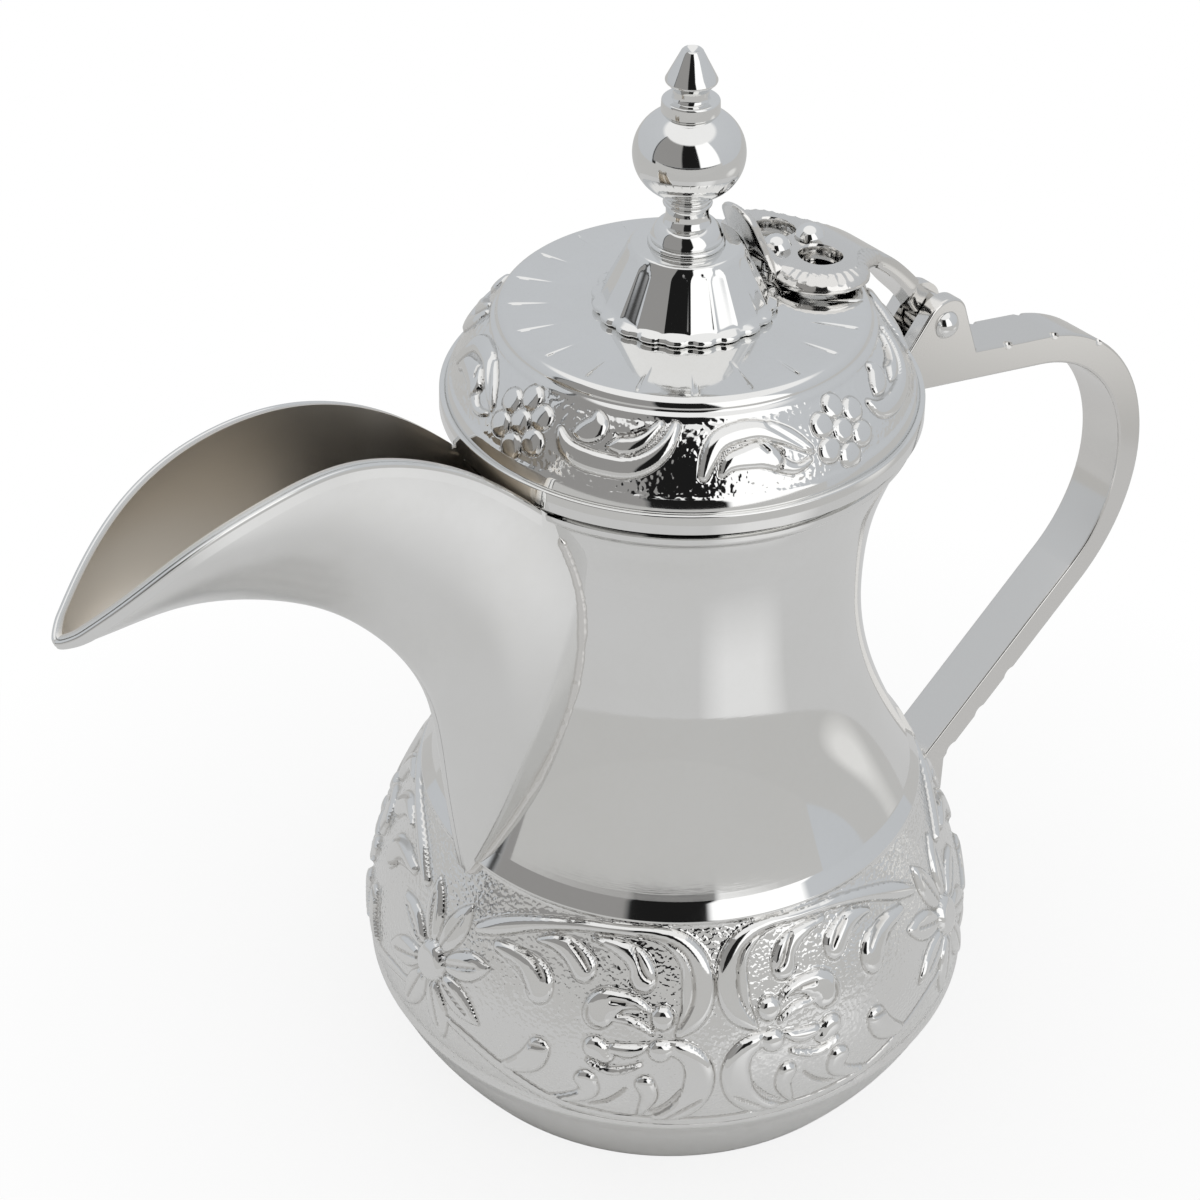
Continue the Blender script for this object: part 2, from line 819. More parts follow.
class Ornament:
    """A field of strokes over a flat unrolled band, read at any place as a height."""

    far_off = -9.0
    mark_limit = 3.0
    field_edge = 0.8
    pebble_rise = 0.06

    def __init__(self, strokes: Sequence[Stroke]) -> None:
        """Take the strokes of one repeat."""
        self.strokes = strokes

    @staticmethod
    def depth(stroke: Stroke, across: Array, up: Array) -> Array:
        """How far inside a stroke's edge each place is.

        Args:
            stroke: The stroke.
            across: Places along the band.
            up: Places up the band.

        Returns:
            Distance from the edge, below zero outside it.
        """
        deep = np.full(across.shape, Ornament.far_off)
        line = np.array(stroke.points)
        if len(line) > 2:
            line = smooth_line(stroke.points, 7 * len(line))
        if len(line) == 1:
            line = np.vstack([line, line + (1e-3, 0, 0)])
        line[:, 2] = np.maximum(line[:, 2], 0.05)
        reach = line[:, 2].max() + 1.5
        near = ((across > line[:, 0].min() - reach) & (across < line[:, 0].max() + reach)
                & (up > line[:, 1].min() - reach) & (up < line[:, 1].max() + reach))
        places = np.column_stack([across[near], up[near]])[:, None, :]
        start, run = line[None, :-1, :2], np.diff(line[:, :2], axis=0)[None]
        along = np.clip(((places - start) * run).sum(2) / (run * run).sum(2), 0, 1)
        gap = np.linalg.norm(places - start - run * along[:, :, None], axis=2)
        width = line[None, :-1, 2] + np.diff(line[:, 2])[None] * along
        deep[near] = (width - gap).max(axis=1)
        return deep

    def read(self, across: Array, up: Array) -> tuple[Array, ...]:
        """Height of the ornament over its ground: pillowed shapes with steep flanks, and chased grooves.

        Args:
            across: Places along the band.
            up: Places up the band.

        Returns:
            Heights, the share of each place that is bare ground, and the depths inside the nearest
            raised shape and the nearest groove.
        """
        height, sunk = (np.zeros(across.shape) for _ in range(2))
        edge, groove = (np.full(across.shape, self.far_off) for _ in range(2))
        for stroke in self.strokes:
            deep = self.depth(stroke, across, up)
            if stroke.rise > 0:
                level = ease(-0.3, 0.6, deep)
                moat = ease(-1.0, -0.2, deep) * (1 - level)
                crown = 0.35 * level + 0.65 * np.sqrt(1 - (1 - np.clip(deep / 2.4, 0, 1)) ** 2)
                height = np.maximum(height * (1 - 0.6 * moat), stroke.rise * crown)
                edge = np.maximum(edge, deep)
            else:
                sunk = np.minimum(sunk, stroke.rise * ease(-0.2, 0.5, deep))
                groove = np.maximum(groove, deep)
        bare = 1 - ease(-0.3, 0.1, edge)
        return height + sunk, bare, *(
            np.clip(marks, -self.mark_limit, self.mark_limit) for marks in (edge, groove))

    def emboss(self, piece: Piece, skin: Array, places: tuple[Array, Array, Array],
               field: Triple, punch: tuple[float, int, int]) -> tuple[Array, Array]:
        """Read the ornament over a piece and mark its ground, edges and grooves for the finish.

        Args:
            piece: The piece.
            skin: The vertices that the ornament is on.
            places: Place of each along the band and up it, and its angle in degrees.
            field: Where the sunk field starts and ends up the band, and how deep it is.
            punch: Size of the punch marks, how many go round and the seed of their draw.

        Returns:
            How far each vertex is lifted, and the share of it that is inside the field.
        """
        across, up, angle = places
        low, high, depth = field
        height, bare, edge, groove = self.read(across, up)
        inside = ease(low, low + self.field_edge, up) * (1 - ease(high - self.field_edge, high, up))
        ground = bare * inside
        rough = pebbles(angle / 360 % 1, up, *punch) - 0.5
        drawn = skin & (inside > 0.1)
        Bench.marked(piece, "ground", np.where(skin, ground, 0.0))
        Bench.marked(piece, "edge", np.where(drawn, edge, -self.mark_limit))
        Bench.marked(piece, "groove", np.where(drawn, groove, -self.mark_limit))
        return (height - depth) * inside + self.pebble_rise * rough * ground, inside


def pebbles(around: Array, up: Array, pitch: float, turns: int, seed: int) -> Array:
    """Uneven domes of a punched ground.

    Args:
        around: Places round the piece, as a share of a turn.
        up: Places up it.
        pitch: Size of a dome.
        turns: Domes in one turn.
        seed: Seed of the draw.

    Returns:
        Height of the domes, 0 to 1.
    """
    draw = np.random.default_rng(seed)
    rows = int(np.ptp(up) / pitch) + 4
    spots = draw.random((turns, rows, 2))
    column, row = around * turns, (up - up.min()) / pitch + 1
    nearest = np.ones(around.shape)
    for dx, dy in np.ndindex(3, 3):
        cx = np.floor(column).astype(int) + dx - 1
        cy = np.clip(np.floor(row).astype(int) + dy - 1, 0, rows - 1)
        spot = spots[cx % turns, cy]
        nearest = np.minimum(nearest, np.hypot(column - cx - spot[..., 0], row - cy - spot[..., 1]))
    return 1 - nearest


# Pot


@dataclass
class PotBody:
    """Spun wall with its embossed belly band, the base disc and the ring round the mouth."""

    base_radius: float = 59.0
    belly: Pair = (72.0, 29.0)
    waist: Pair = (41.2, 127.0)
    mouth: Pair = (48.6, 169.4)
    wall: float = 1.3
    band_low: float = 17.6
    band_high: float = 77.4
    band_recess: float = 1.0
    band_steps: int = 768
    field: Triple = (23.4, 72.0, 0.55)
    punch: tuple[float, int, int] = (1.25, 360, 7)
    borders: tuple[Triple, ...] = ((19.3, 22.9, 0.5), (75.8, 72.0, 0.75))
    mirror_at: float = 240.0
    repeat: float = 120.0
    mm_per_degree: float = 1.222
    flower_height: float = 46.0
    base_thickness: float = 1.5
    collar_radius: float = 50.2
    collar_height: float = 5.4
    window: Triple = (14.0, 98.0, 152.0)

    def wall_line(self, counts: tuple[int, int, int] = (40, 130, 50)) -> Array:
        """Outer line of the wall from foot to mouth.

        Args:
            counts: Steps from foot to belly, belly to waist and waist to mouth.

        Returns:
            Radius and height of each point.
        """
        pen = Outline(self.base_radius, 0.0)
        pen.bend((60.305, 1.914), (72.0, 17.313), self.belly, counts[0])
        pen.bend((72.0, 61.634), (41.2, 83.488), self.waist, counts[1])
        pen.bend((41.2, 154.39), (48.6, 158.376), self.mouth, counts[2])
        return pen.drawn()

    def radius_at(self, height: Array | float) -> Array:
        """Outer radius of the wall at a height."""
        line = self.wall_line((200, 400, 200))
        return np.interp(height, line[:, 1], line[:, 0])

    def lean_at(self, height: Array) -> Array:
        """How fast the wall's radius grows with height."""
        return (self.radius_at(height + 0.2) - self.radius_at(height - 0.2)) / 0.4

    def block(self, lid_radius: float, lid_low: float) -> Piece:
        """The pot as a full solid with the room that the lid takes, for coping.

        Args:
            lid_radius: Radius of the lid's room.
            lid_low: Height that the lid's room starts at.

        Returns:
            The solid.
        """
        line = self.wall_line()
        pen = Outline(0.0, -20.0).line(self.base_radius, -20.0)
        pen.points += [tuple(point) for point in line[line[:, 1] < lid_low - 0.3]]
        pen.line(float(self.radius_at(lid_low)), lid_low)
        pen.line(lid_radius, lid_low).line(lid_radius, 280.0).line(0.0, 280.0)
        return Bench.turned("block", pen.drawn(), 256)

    def strokes(self) -> list[Stroke]:
        """Half of one repeat: scrolls and leaves beside the mirror line, and half a flower.

        Returns:
            The strokes, measured in millimetres from the mirror line.
        """
        raised = (
            ((189, 59.8, 1.2), (194, 62.8, 1.9), (200, 65.8, 1.6), (206, 67.8, 1.3), (213, 69.2, 1.1),
             (222, 69.7, 1), (229, 69.3, 1.5), (233.5, 67, 2.6), (236.3, 62.5, 3.6), (236.6, 58, 3.9),
             (236, 54, 3.3), (234.5, 51, 2.2), (232.8, 48.7, .8)),
            ((194.5, 58.6, 1.2), (198.5, 58.3, 2), (202.3, 57.2, 2.9), (205.2, 54.6, 3.5),
             (205.3, 53.6, 3.3)),
            ((203, 63.6, .5), (206.5, 64.2, 1.5), (210.5, 63.3, 2.5), (213.6, 60.8, 3.2)),
            ((214.8, 67, .5), (219, 66.5, 1.2), (222.8, 65, 2), (225.4, 62.3, 2.9), (225.8, 60.4, 3.1)),
            ((227.6, 53.6, .5), (224.5, 55.2, 1.3), (220.8, 54.9, 2.4), (218, 52.8, 3.8), (217.5, 51.8, 3.6)),
            ((220.5, 51.2, .5), (224, 51.1, .9), (228, 48.8, .5)),
            ((231, 45.5, 1.6), (234, 44.5, 2.2), (236.4, 41, 3), (236.6, 36, 3.3), (235.3, 31.5, 3),
             (232.5, 28, 2.2), (229, 26, 1)),
            ((227, 36, 2.2), (227.8, 33, 1.9), (227, 29.5, 1.2), (226, 26.5, .4)),
            ((216.3, 35, 2.6), (217, 32.5, 2.1), (214.5, 29.5, 1.4), (210, 27.5, .5)),
            ((217.5, 43.8, 2.6), (219.5, 42.7, 2.2)),
            ((221, 44.3, 1.2), (224, 44.2, 1.6), (227, 45.6, .6)),
            ((216.5, 40.3, .6), (220.5, 38.7, 1), (226, 41, .5)),
            ((207, 39.8, 2.7), (206, 36.8, 2.9), (203.5, 33.8, 2.2), (200.5, 31.8, .9)),
            ((186, 35, .8), (192, 33.5, 1.2), (198, 31, 1.4), (204, 28.5, 1.4), (210, 26.2, 1.3),
             (216, 25.2, 1.2), (225, 24.8, 1), (240, 24.5, 1)),
        )
        chased = (
            ((224, 68.9, .4), (231, 68, .5), (234.5, 65, .55), (235.6, 61, .55), (235.6, 57, .55),
             (234.5, 53.5, .5), (233, 50.5, .4)),
            ((199, 60.2, .4), (203, 59.3, .6), (206, 56.6, .4)),
            ((197.5, 57.2, .3), (201, 56, .5), (202.5, 53.5, .5), (204, 52.2, .3)),
            ((210, 65.2, .4), (212.8, 63.3, .7), (214.8, 60.9, .5)),
            ((210.5, 60, .3), (212, 58.3, .4), (214, 57.8, .3)),
            ((223, 66.6, .4), (224.8, 64, .7), (226.4, 61, .6), (227.8, 60.2, .3)),
            ((222.8, 60, .3), (224, 58.2, .4), (227, 57.7, .3)),
            ((226.8, 52.8, .3), (223.5, 55, .5), (220, 55.3, .5)),
            ((215.6, 53.2, .4), (216.2, 50, .5), (218.7, 48.8, .4)),
            ((237, 32.5, .4), (233, 29, .4), (230, 25.8, .3)),
            ((233.5, 34.5, .4), (231, 30.5, .4), (228, 27.5, .3)),
            ((223.5, 34, .5), (221, 30.5, .6), (217, 27.7, .4)),
            ((205, 40.3, .4), (207, 40.9, .5), (208.3, 41, .3)),
        )
        beads = (((229.8, 52.2, 2.7),), ((229.5, 44.7, 2.6),))
        strokes = []
        for rise, lines in ((1.5, raised[:-1]), (0.6, raised[-1:]), (-0.42, chased), (1.7, beads)):
            strokes += [
                Stroke(points, rise).unrolled(self.mirror_at, -self.mm_per_degree) for points in lines]
        centre = self.repeat / 2 * self.mm_per_degree
        petal = ((4.6, 1.2), (8.0, 2.7), (11.0, 3.3), (15.0, 2.2), (18.6, .2))
        for angle in np.radians((-67.5, -22.5, 22.5, 67.5)):
            out = [(centre - reach * math.cos(angle), self.flower_height + reach * math.sin(angle), half)
                   for reach, half in petal]
            strokes.append(Stroke(tuple(out), 1.2))
            strokes.append(Stroke(tuple((x, z, .4) for x, z, _ in out[:4]), -.4))
        strokes.append(Stroke(((centre, self.flower_height, 4.6),), 1.9))
        return strokes

    def wall_piece(self) -> Piece:
        """Plain wall, set back under the belly band, with the pouring window cut.

        Returns:
            The wall, with its inner side marked.
        """
        line = self.wall_line()
        inner = line.copy()
        inner[:, 0] -= self.wall
        low, high = self.band_low, self.band_high
        below, above = line[line[:, 1] < low - 0.2], line[line[:, 1] > high + 0.2]
        between = line[(line[:, 1] > low + 0.2) & (line[:, 1] < high - 0.2)][::6]
        radii = self.radius_at(np.array([low, high]))
        back = self.band_recess
        outer = [*map(tuple, below), (radii[0], low), (radii[0] - back, low),
                 *((r - back, z) for r, z in between),
                 (radii[1] - back, high), (radii[1], high), *map(tuple, above)]
        section = np.array(outer + [tuple(point) for point in inner[::-3]])
        piece = Bench.turned("body_wall", section, 256)
        wide, bottom, top = self.window
        middle = -self.waist[0]
        for height in (bottom + wide / 2, top - wide / 2):
            end = Bench.rod(wide / 2, 40, (0, 0, 0), True)
            place = Matrix.Translation(Vector((middle, 0, height)) * MM)
            end.data.transform(place @ Matrix.Rotation(math.pi / 2, 4, "Z"))
            Bench.worked(piece, [end], Cut.TAKE_AWAY)
        slot = Bench.block(
            (middle - 20, -wide / 2, bottom + wide / 2), (middle + 20, wide / 2, top - wide / 2))
        Bench.worked(piece, [slot], Cut.TAKE_AWAY)
        Bench.soften(piece)
        spots = Bench.places(piece)
        within = self.radius_at(spots[:, 2]) - np.hypot(spots[:, 0], spots[:, 1])
        Bench.marked(piece, "inner", ease(self.wall - 0.2, self.wall - 0.05, within))
        return piece

    def band_piece(self) -> Piece:
        """Embossed belly band: scrolls, leaves and flowers over a punched ground.

        Returns:
            The band, with its ground, edges and grooves marked.
        """
        fine = [line + step for *ends, _ in self.borders for line in ends for step in (-0.3, 0.0, 0.3)]
        heights = np.unique(np.concatenate([np.linspace(self.band_low, self.band_high, 96), fine]))
        outer = np.column_stack([self.radius_at(heights), heights])
        inner = outer[::-9].copy()
        inner[:, 0] -= self.band_recess
        piece = Bench.turned("belly_band", np.vstack([outer, inner]), self.band_steps)
        spots = Bench.places(piece)
        reach = np.hypot(spots[:, 0], spots[:, 1])
        angle = np.degrees(np.arctan2(spots[:, 1], spots[:, 0]))
        up = spots[:, 2]
        wall = self.radius_at(up)
        skin = reach > wall - 0.4
        half = self.repeat / 2
        across = np.abs((angle - self.mirror_at + half) % self.repeat - half) * self.mm_per_degree
        lift, inside = Ornament(self.strokes()).emboss(
            piece, skin, (across, up, angle), self.field, self.punch)
        for start, end, rise in self.borders:
            ramp = np.clip((up - start) / (end - start), 0, 1)
            lift += rise * ramp * (1 - inside) * (np.abs(up - start) < 5)
        low, high = self.band_low, self.band_high
        lift *= ease(low, low + 0.6, up) * (1 - ease(high - 0.6, high, up))
        lean = self.lean_at(up)
        tilt = 1 / np.hypot(1, lean)
        move = np.where(skin, lift, 0.0)
        spots[:, :2] *= ((reach + move * tilt) / reach)[:, None]
        spots[:, 2] -= move * tilt * lean
        Bench.put(piece, spots)
        Bench.soften(piece, 60.0)
        return piece

    def base_piece(self) -> Piece:
        """Base disc with a shallow dish and two turned rings under it.

        Returns:
            The disc.
        """
        outer = self.base_radius - self.wall - 0.12
        pen = Outline(0.0, 0.55).line(20.0, 0.5, 6).line(21.0, 0.1).line(23.0, 0.1).line(24.0, 0.45)
        pen.line(44.0, 0.4, 8).line(45.2, 0.0, 2).line(outer - 0.4, 0.0, 4).line(outer, 0.4)
        pen.line(outer, self.base_thickness).line(0.0, self.base_thickness, 8)
        return Bench.spun("base_disc", pen, 192)

    def collar_piece(self) -> Piece:
        """Plain ring round the mouth, flared from the wall below and grooved at the top.

        Returns:
            The ring.
        """
        low, high, out = self.mouth[1] - self.collar_height, self.mouth[1], self.collar_radius
        inner = [(float(self.radius_at(z)) + 0.02, z) for z in np.linspace(high, low, 6)]
        pen = Outline(*inner[-1])
        pen.bend((inner[-1][0] + 0.3, low + 1.2), (out, low + 1.6), (out, low + 3.0), 10)
        pen.line(out, high - 1.7, 2).line(inner[0][0] + 0.2, high - 1.2)
        pen.points += inner[:-1]
        return Bench.spun("mouth_collar", pen, 256)

    def build(self) -> None:
        """Make and settle the pieces of the pot's body."""
        for make, finish, node in (
                (self.wall_piece, LINED_PLATE, "body_shell"), (self.band_piece, EMBOSSED_PLATE, "body_shell"),
                (self.base_piece, BASE_PLATE, "base_plate"), (self.collar_piece, MIRROR_PLATE, "rim_collar")):
            settle(make(), finish, Body.POT, Slot.BRIGHT, node)


@dataclass
class Spout:
    """Open beak in two stamped halves, each with a strip along its lip."""

    pot: PotBody
    stations: tuple[tuple[Pair, Pair, float], ...] = (
        ((99.7, 1.2), (100.7, 4.0), 1.9),
        ((91.3, 2.2), (92.2, 10.6), 6.6),
        ((76.4, 1.5), (77.9, 20.1), 11.3),
        ((58.4, -4.6), (60.4, 25.8), 13.2),
        ((42.2, -15.0), (44.4, 26.4), 13.0),
        ((27.9, -31.1), (28.4, 21.4), 13.5),
        ((18.0, -50.6), (13.4, 11.9), 14.1),
        ((14.6, -74.4), (0.0, -0.4), 15.2),
        ((11.3, -100.4), (-12.6, -13.4), 16.0),
    )
    keel_half: float = 2.4
    keel_share: float = 0.42
    bulge: float = 0.78
    bulge_at: float = 0.45
    wall: float = 1.2
    tip_round: float = 4.0
    strip_height: float = 3.2
    strip_share: float = 0.55
    strip_thickness: float = 1.0
    strip_edge: float = 0.32
    strip_from: float = 69.0
    bead: float = 1.15
    bead_steps: int = 180
    rows: int = 130
    columns: int = 40
    run_on: float = 15.0
    lid_room: float = 52.0

    def sections(self) -> Array:
        """Keel, lip, half width and keel half width along the beak, from the tip to the pot.

        Returns:
            One row for each section.
        """
        mouth_radius, mouth_height = self.pot.mouth
        rows = []
        for (keel_out, keel_up), (lip_out, lip_up), half in self.stations:
            rows.append((-mouth_radius - keel_out, mouth_height + keel_up, -mouth_radius - lip_out,
                         mouth_height + lip_up, half, min(self.keel_half, self.keel_share * half)))
        values = np.array(rows)
        knots = run_length(values[:, 2:4])
        places = knots[-1] * np.linspace(0, 1, self.rows) ** 1.35
        sections = spline(knots, values, places)
        closing = np.sqrt(np.clip(1 - (1 - np.clip(places / self.tip_round, 0, 1)) ** 2, 0, 1))
        sections[:, 4:] *= np.maximum(closing, 0.03)[:, None]
        run_on = np.outer(np.arange(1.0, self.run_on, 1.0), (1, 0, 1, 0, 0, 0))
        return np.vstack([sections, sections[-1] + run_on])

    def cheek(self, side: int) -> Array:
        """Outer skin of one cheek.

        Args:
            side: -1 for the left cheek, 1 for the right.

        Returns:
            Places by section and by step from the keel's seam up to the lip.
        """
        keel_x, keel_z, lip_x, lip_z, half, keel = (column[:, None] for column in self.sections().T)
        flat = 7
        t = np.linspace(0, 1, self.columns - flat)[None, :]
        middle_y = 2 * self.bulge * half - (keel + half) / 2
        middle_w = 2 * self.bulge_at - 0.5
        y = keel * (1 - t) ** 2 + 2 * middle_y * t * (1 - t) + half * t * t
        w = 2 * middle_w * t * (1 - t) + t * t
        y = np.hstack([keel * np.linspace(0.02, 1, flat, endpoint=False)[None, :], y])
        w = np.hstack([np.zeros((len(keel), flat)), np.broadcast_to(w, y[:, flat:].shape)])
        for _ in range(5):
            for values in (y, w):
                values[:, 2:14] = (values[:, 1:13] + 2 * values[:, 2:14] + values[:, 3:15]) / 4
        return np.stack([keel_x + (lip_x - keel_x) * w, side * y, keel_z + (lip_z - keel_z) * w], axis=2)

    def half_piece(self, side: int, name: str) -> Piece:
        """One stamped half.

        Args:
            side: -1 for the left, 1 for the right.
            name: Name of the piece.

        Returns:
            The half, coped to the pot and clear of the lid.
        """
        piece = Bench.draped(name, self.cheek(side))
        self.face_out(piece, side)
        Bench.modified(piece, "SOLIDIFY", thickness=self.wall * MM, offset=-1, use_even_offset=False)
        shell = Bench.places(piece)
        near = Bench.finder(shell)
        Bench.worked(piece, [self.pot.block(self.lid_room, self.pot.mouth[1])], Cut.TAKE_AWAY)
        Bench.soften(piece, 40.0)
        inner = [near.find(spot)[1] >= len(shell) // 2 for spot in Bench.places(piece)]
        Bench.marked(piece, "inner", np.array(inner, dtype=float))
        return piece

    def bead_piece(self, side: int, name: str) -> Piece:
        """Run of solder where one cheek meets the wall.

        Args:
            side: -1 for the left, 1 for the right.
            name: Name of the piece.

        Returns:
            The bead, half sunk in the wall.
        """
        skin = self.cheek(side)
        clear = np.hypot(skin[:, :, 0], skin[:, :, 1]) - self.pot.radius_at(skin[:, :, 2])
        met = []
        for column in range(skin.shape[1]):
            row = int(np.argmax(clear[:, column] < 0))
            if row and skin[row, column, 2] < self.pot.mouth[1] - self.pot.collar_height:
                share = clear[row - 1, column] / (clear[row - 1, column] - clear[row, column])
                met.append(skin[row - 1, column] + (skin[row, column] - skin[row - 1, column]) * share)
        knots = run_length(np.array(met))
        count, blur = self.bead_steps, 9
        path = spline(knots, np.array(met), np.linspace(0, knots[-1], count))
        reach = np.hypot(path[:, 0], path[:, 1])
        out = np.column_stack([path[:, 0] / reach, path[:, 1] / reach, -self.pot.lean_at(path[:, 2])])
        out /= np.linalg.norm(out, axis=1)[:, None]
        aside = np.cross(np.gradient(path, axis=0), out)
        aside /= np.linalg.norm(aside, axis=1)[:, None]
        lumps = np.random.default_rng(5).normal(size=count + blur - 1)
        lumps = np.convolve(lumps, np.ones(blur) / blur, "valid")
        ends = ease(0, 4, np.arange(count)) * ease(0, 4, np.arange(count)[::-1])
        thick = (self.bead * (1 + 0.35 * lumps) * np.maximum(ends, 0.05))[:, None]
        ring = [path + out * (thick * 0.8 * math.sin(angle)) + aside * (thick * math.cos(angle))
                for angle in np.linspace(0, math.tau, 15)]
        piece = Bench.draped(name, np.stack(ring, axis=1))
        Bench.close(piece)
        self.cap(piece)
        Bench.soften(piece, 60.0)
        return piece

    @staticmethod
    def face_out(piece: Piece, side: int) -> None:
        """Turn the faces of an open sheet away from the middle of the beak.

        Args:
            piece: The piece.
            side: -1 for the left half, 1 for the right.
        """
        with Bench.editing(piece):
            bpy.ops.mesh.normals_make_consistent(inside=False)
        if sum(face.normal.y * face.area for face in piece.data.polygons) * side < 0:
            with Bench.editing(piece):
                bpy.ops.mesh.flip_normals()

    def strip_piece(self, side: int, name: str) -> Piece:
        """Strip round the outside of one lip, with rounded edges.

        Args:
            side: -1 for the left, 1 for the right.
            name: Name of the piece.

        Returns:
            The strip.
        """
        skin = self.cheek(side)
        lip = skin[:, -1]
        rise = lip - skin[:, -4]
        rise /= np.linalg.norm(rise, axis=1)[:, None]
        along = np.gradient(lip, axis=0)
        out = np.cross(along, rise) * side
        out /= np.linalg.norm(out, axis=1)[:, None]
        if (out[len(out) // 2] * (0, side, 0)).sum() < 0:
            out = -out
        sections = self.sections()
        length = np.hypot(sections[:, 2] - sections[:, 0], sections[:, 3] - sections[:, 1])
        height = np.minimum(self.strip_height, self.strip_share * length)[:, None]
        ring = []
        thick, edge = self.strip_thickness, self.strip_edge
        for depth, proud in ((0.0, 0.0), (-edge * 0.7, edge * 0.3), (-edge, edge), (-edge, thick - edge),
                             (-edge * 0.7, thick - edge * 0.3), (0.0, thick), (0.35, thick), (0.65, thick),
                             (1.0, thick), (1.0, thick * 0.6), (1.0, 0.0), (0.5, 0.0), (0.0, 0.0)):
            drop = height * depth if depth > 0 else edge + depth
            ring.append(lip - rise * drop + out * (0.05 + proud))
        piece = Bench.draped(name, np.stack(ring, axis=1))
        Bench.close(piece)
        self.cap(piece)
        Bench.worked(piece, [self.pot.block(self.lid_room, self.strip_from)], Cut.TAKE_AWAY)
        Bench.soften(piece, 50.0)
        return piece

    @staticmethod
    def cap(piece: Piece) -> None:
        """Close the open ends of a tube and turn its faces outwards.

        Args:
            piece: The piece.
        """
        with Bench.editing(piece):
            bpy.ops.mesh.select_mode(type="EDGE")
            bpy.ops.mesh.select_all(action="DESELECT")
            bpy.ops.mesh.select_non_manifold(
                extend=False, use_wire=False, use_multi_face=False, use_non_contiguous=False, use_verts=False)
            bpy.ops.mesh.edge_face_add()
            bpy.ops.mesh.select_mode(type="VERT")
            bpy.ops.mesh.select_all(action="SELECT")
            bpy.ops.mesh.normals_make_consistent(inside=False)

    def build(self) -> None:
        """Make and settle both halves, both strips and both runs of solder."""
        for side, word in ((-1, "left"), (1, "right")):
            for make, finish, name, node in (
                    (self.half_piece, SATIN_PLATE, "cheek", "half"),
                    (self.strip_piece, MIRROR_PLATE, "lip", "rim"),
                    (self.bead_piece, CAST_PLATE, "solder", "half")):
                piece = make(side, f"spout_{word}_{name}")
                settle(piece, finish, Body.POT, Slot.BRIGHT, f"spout_{word}_{node}")


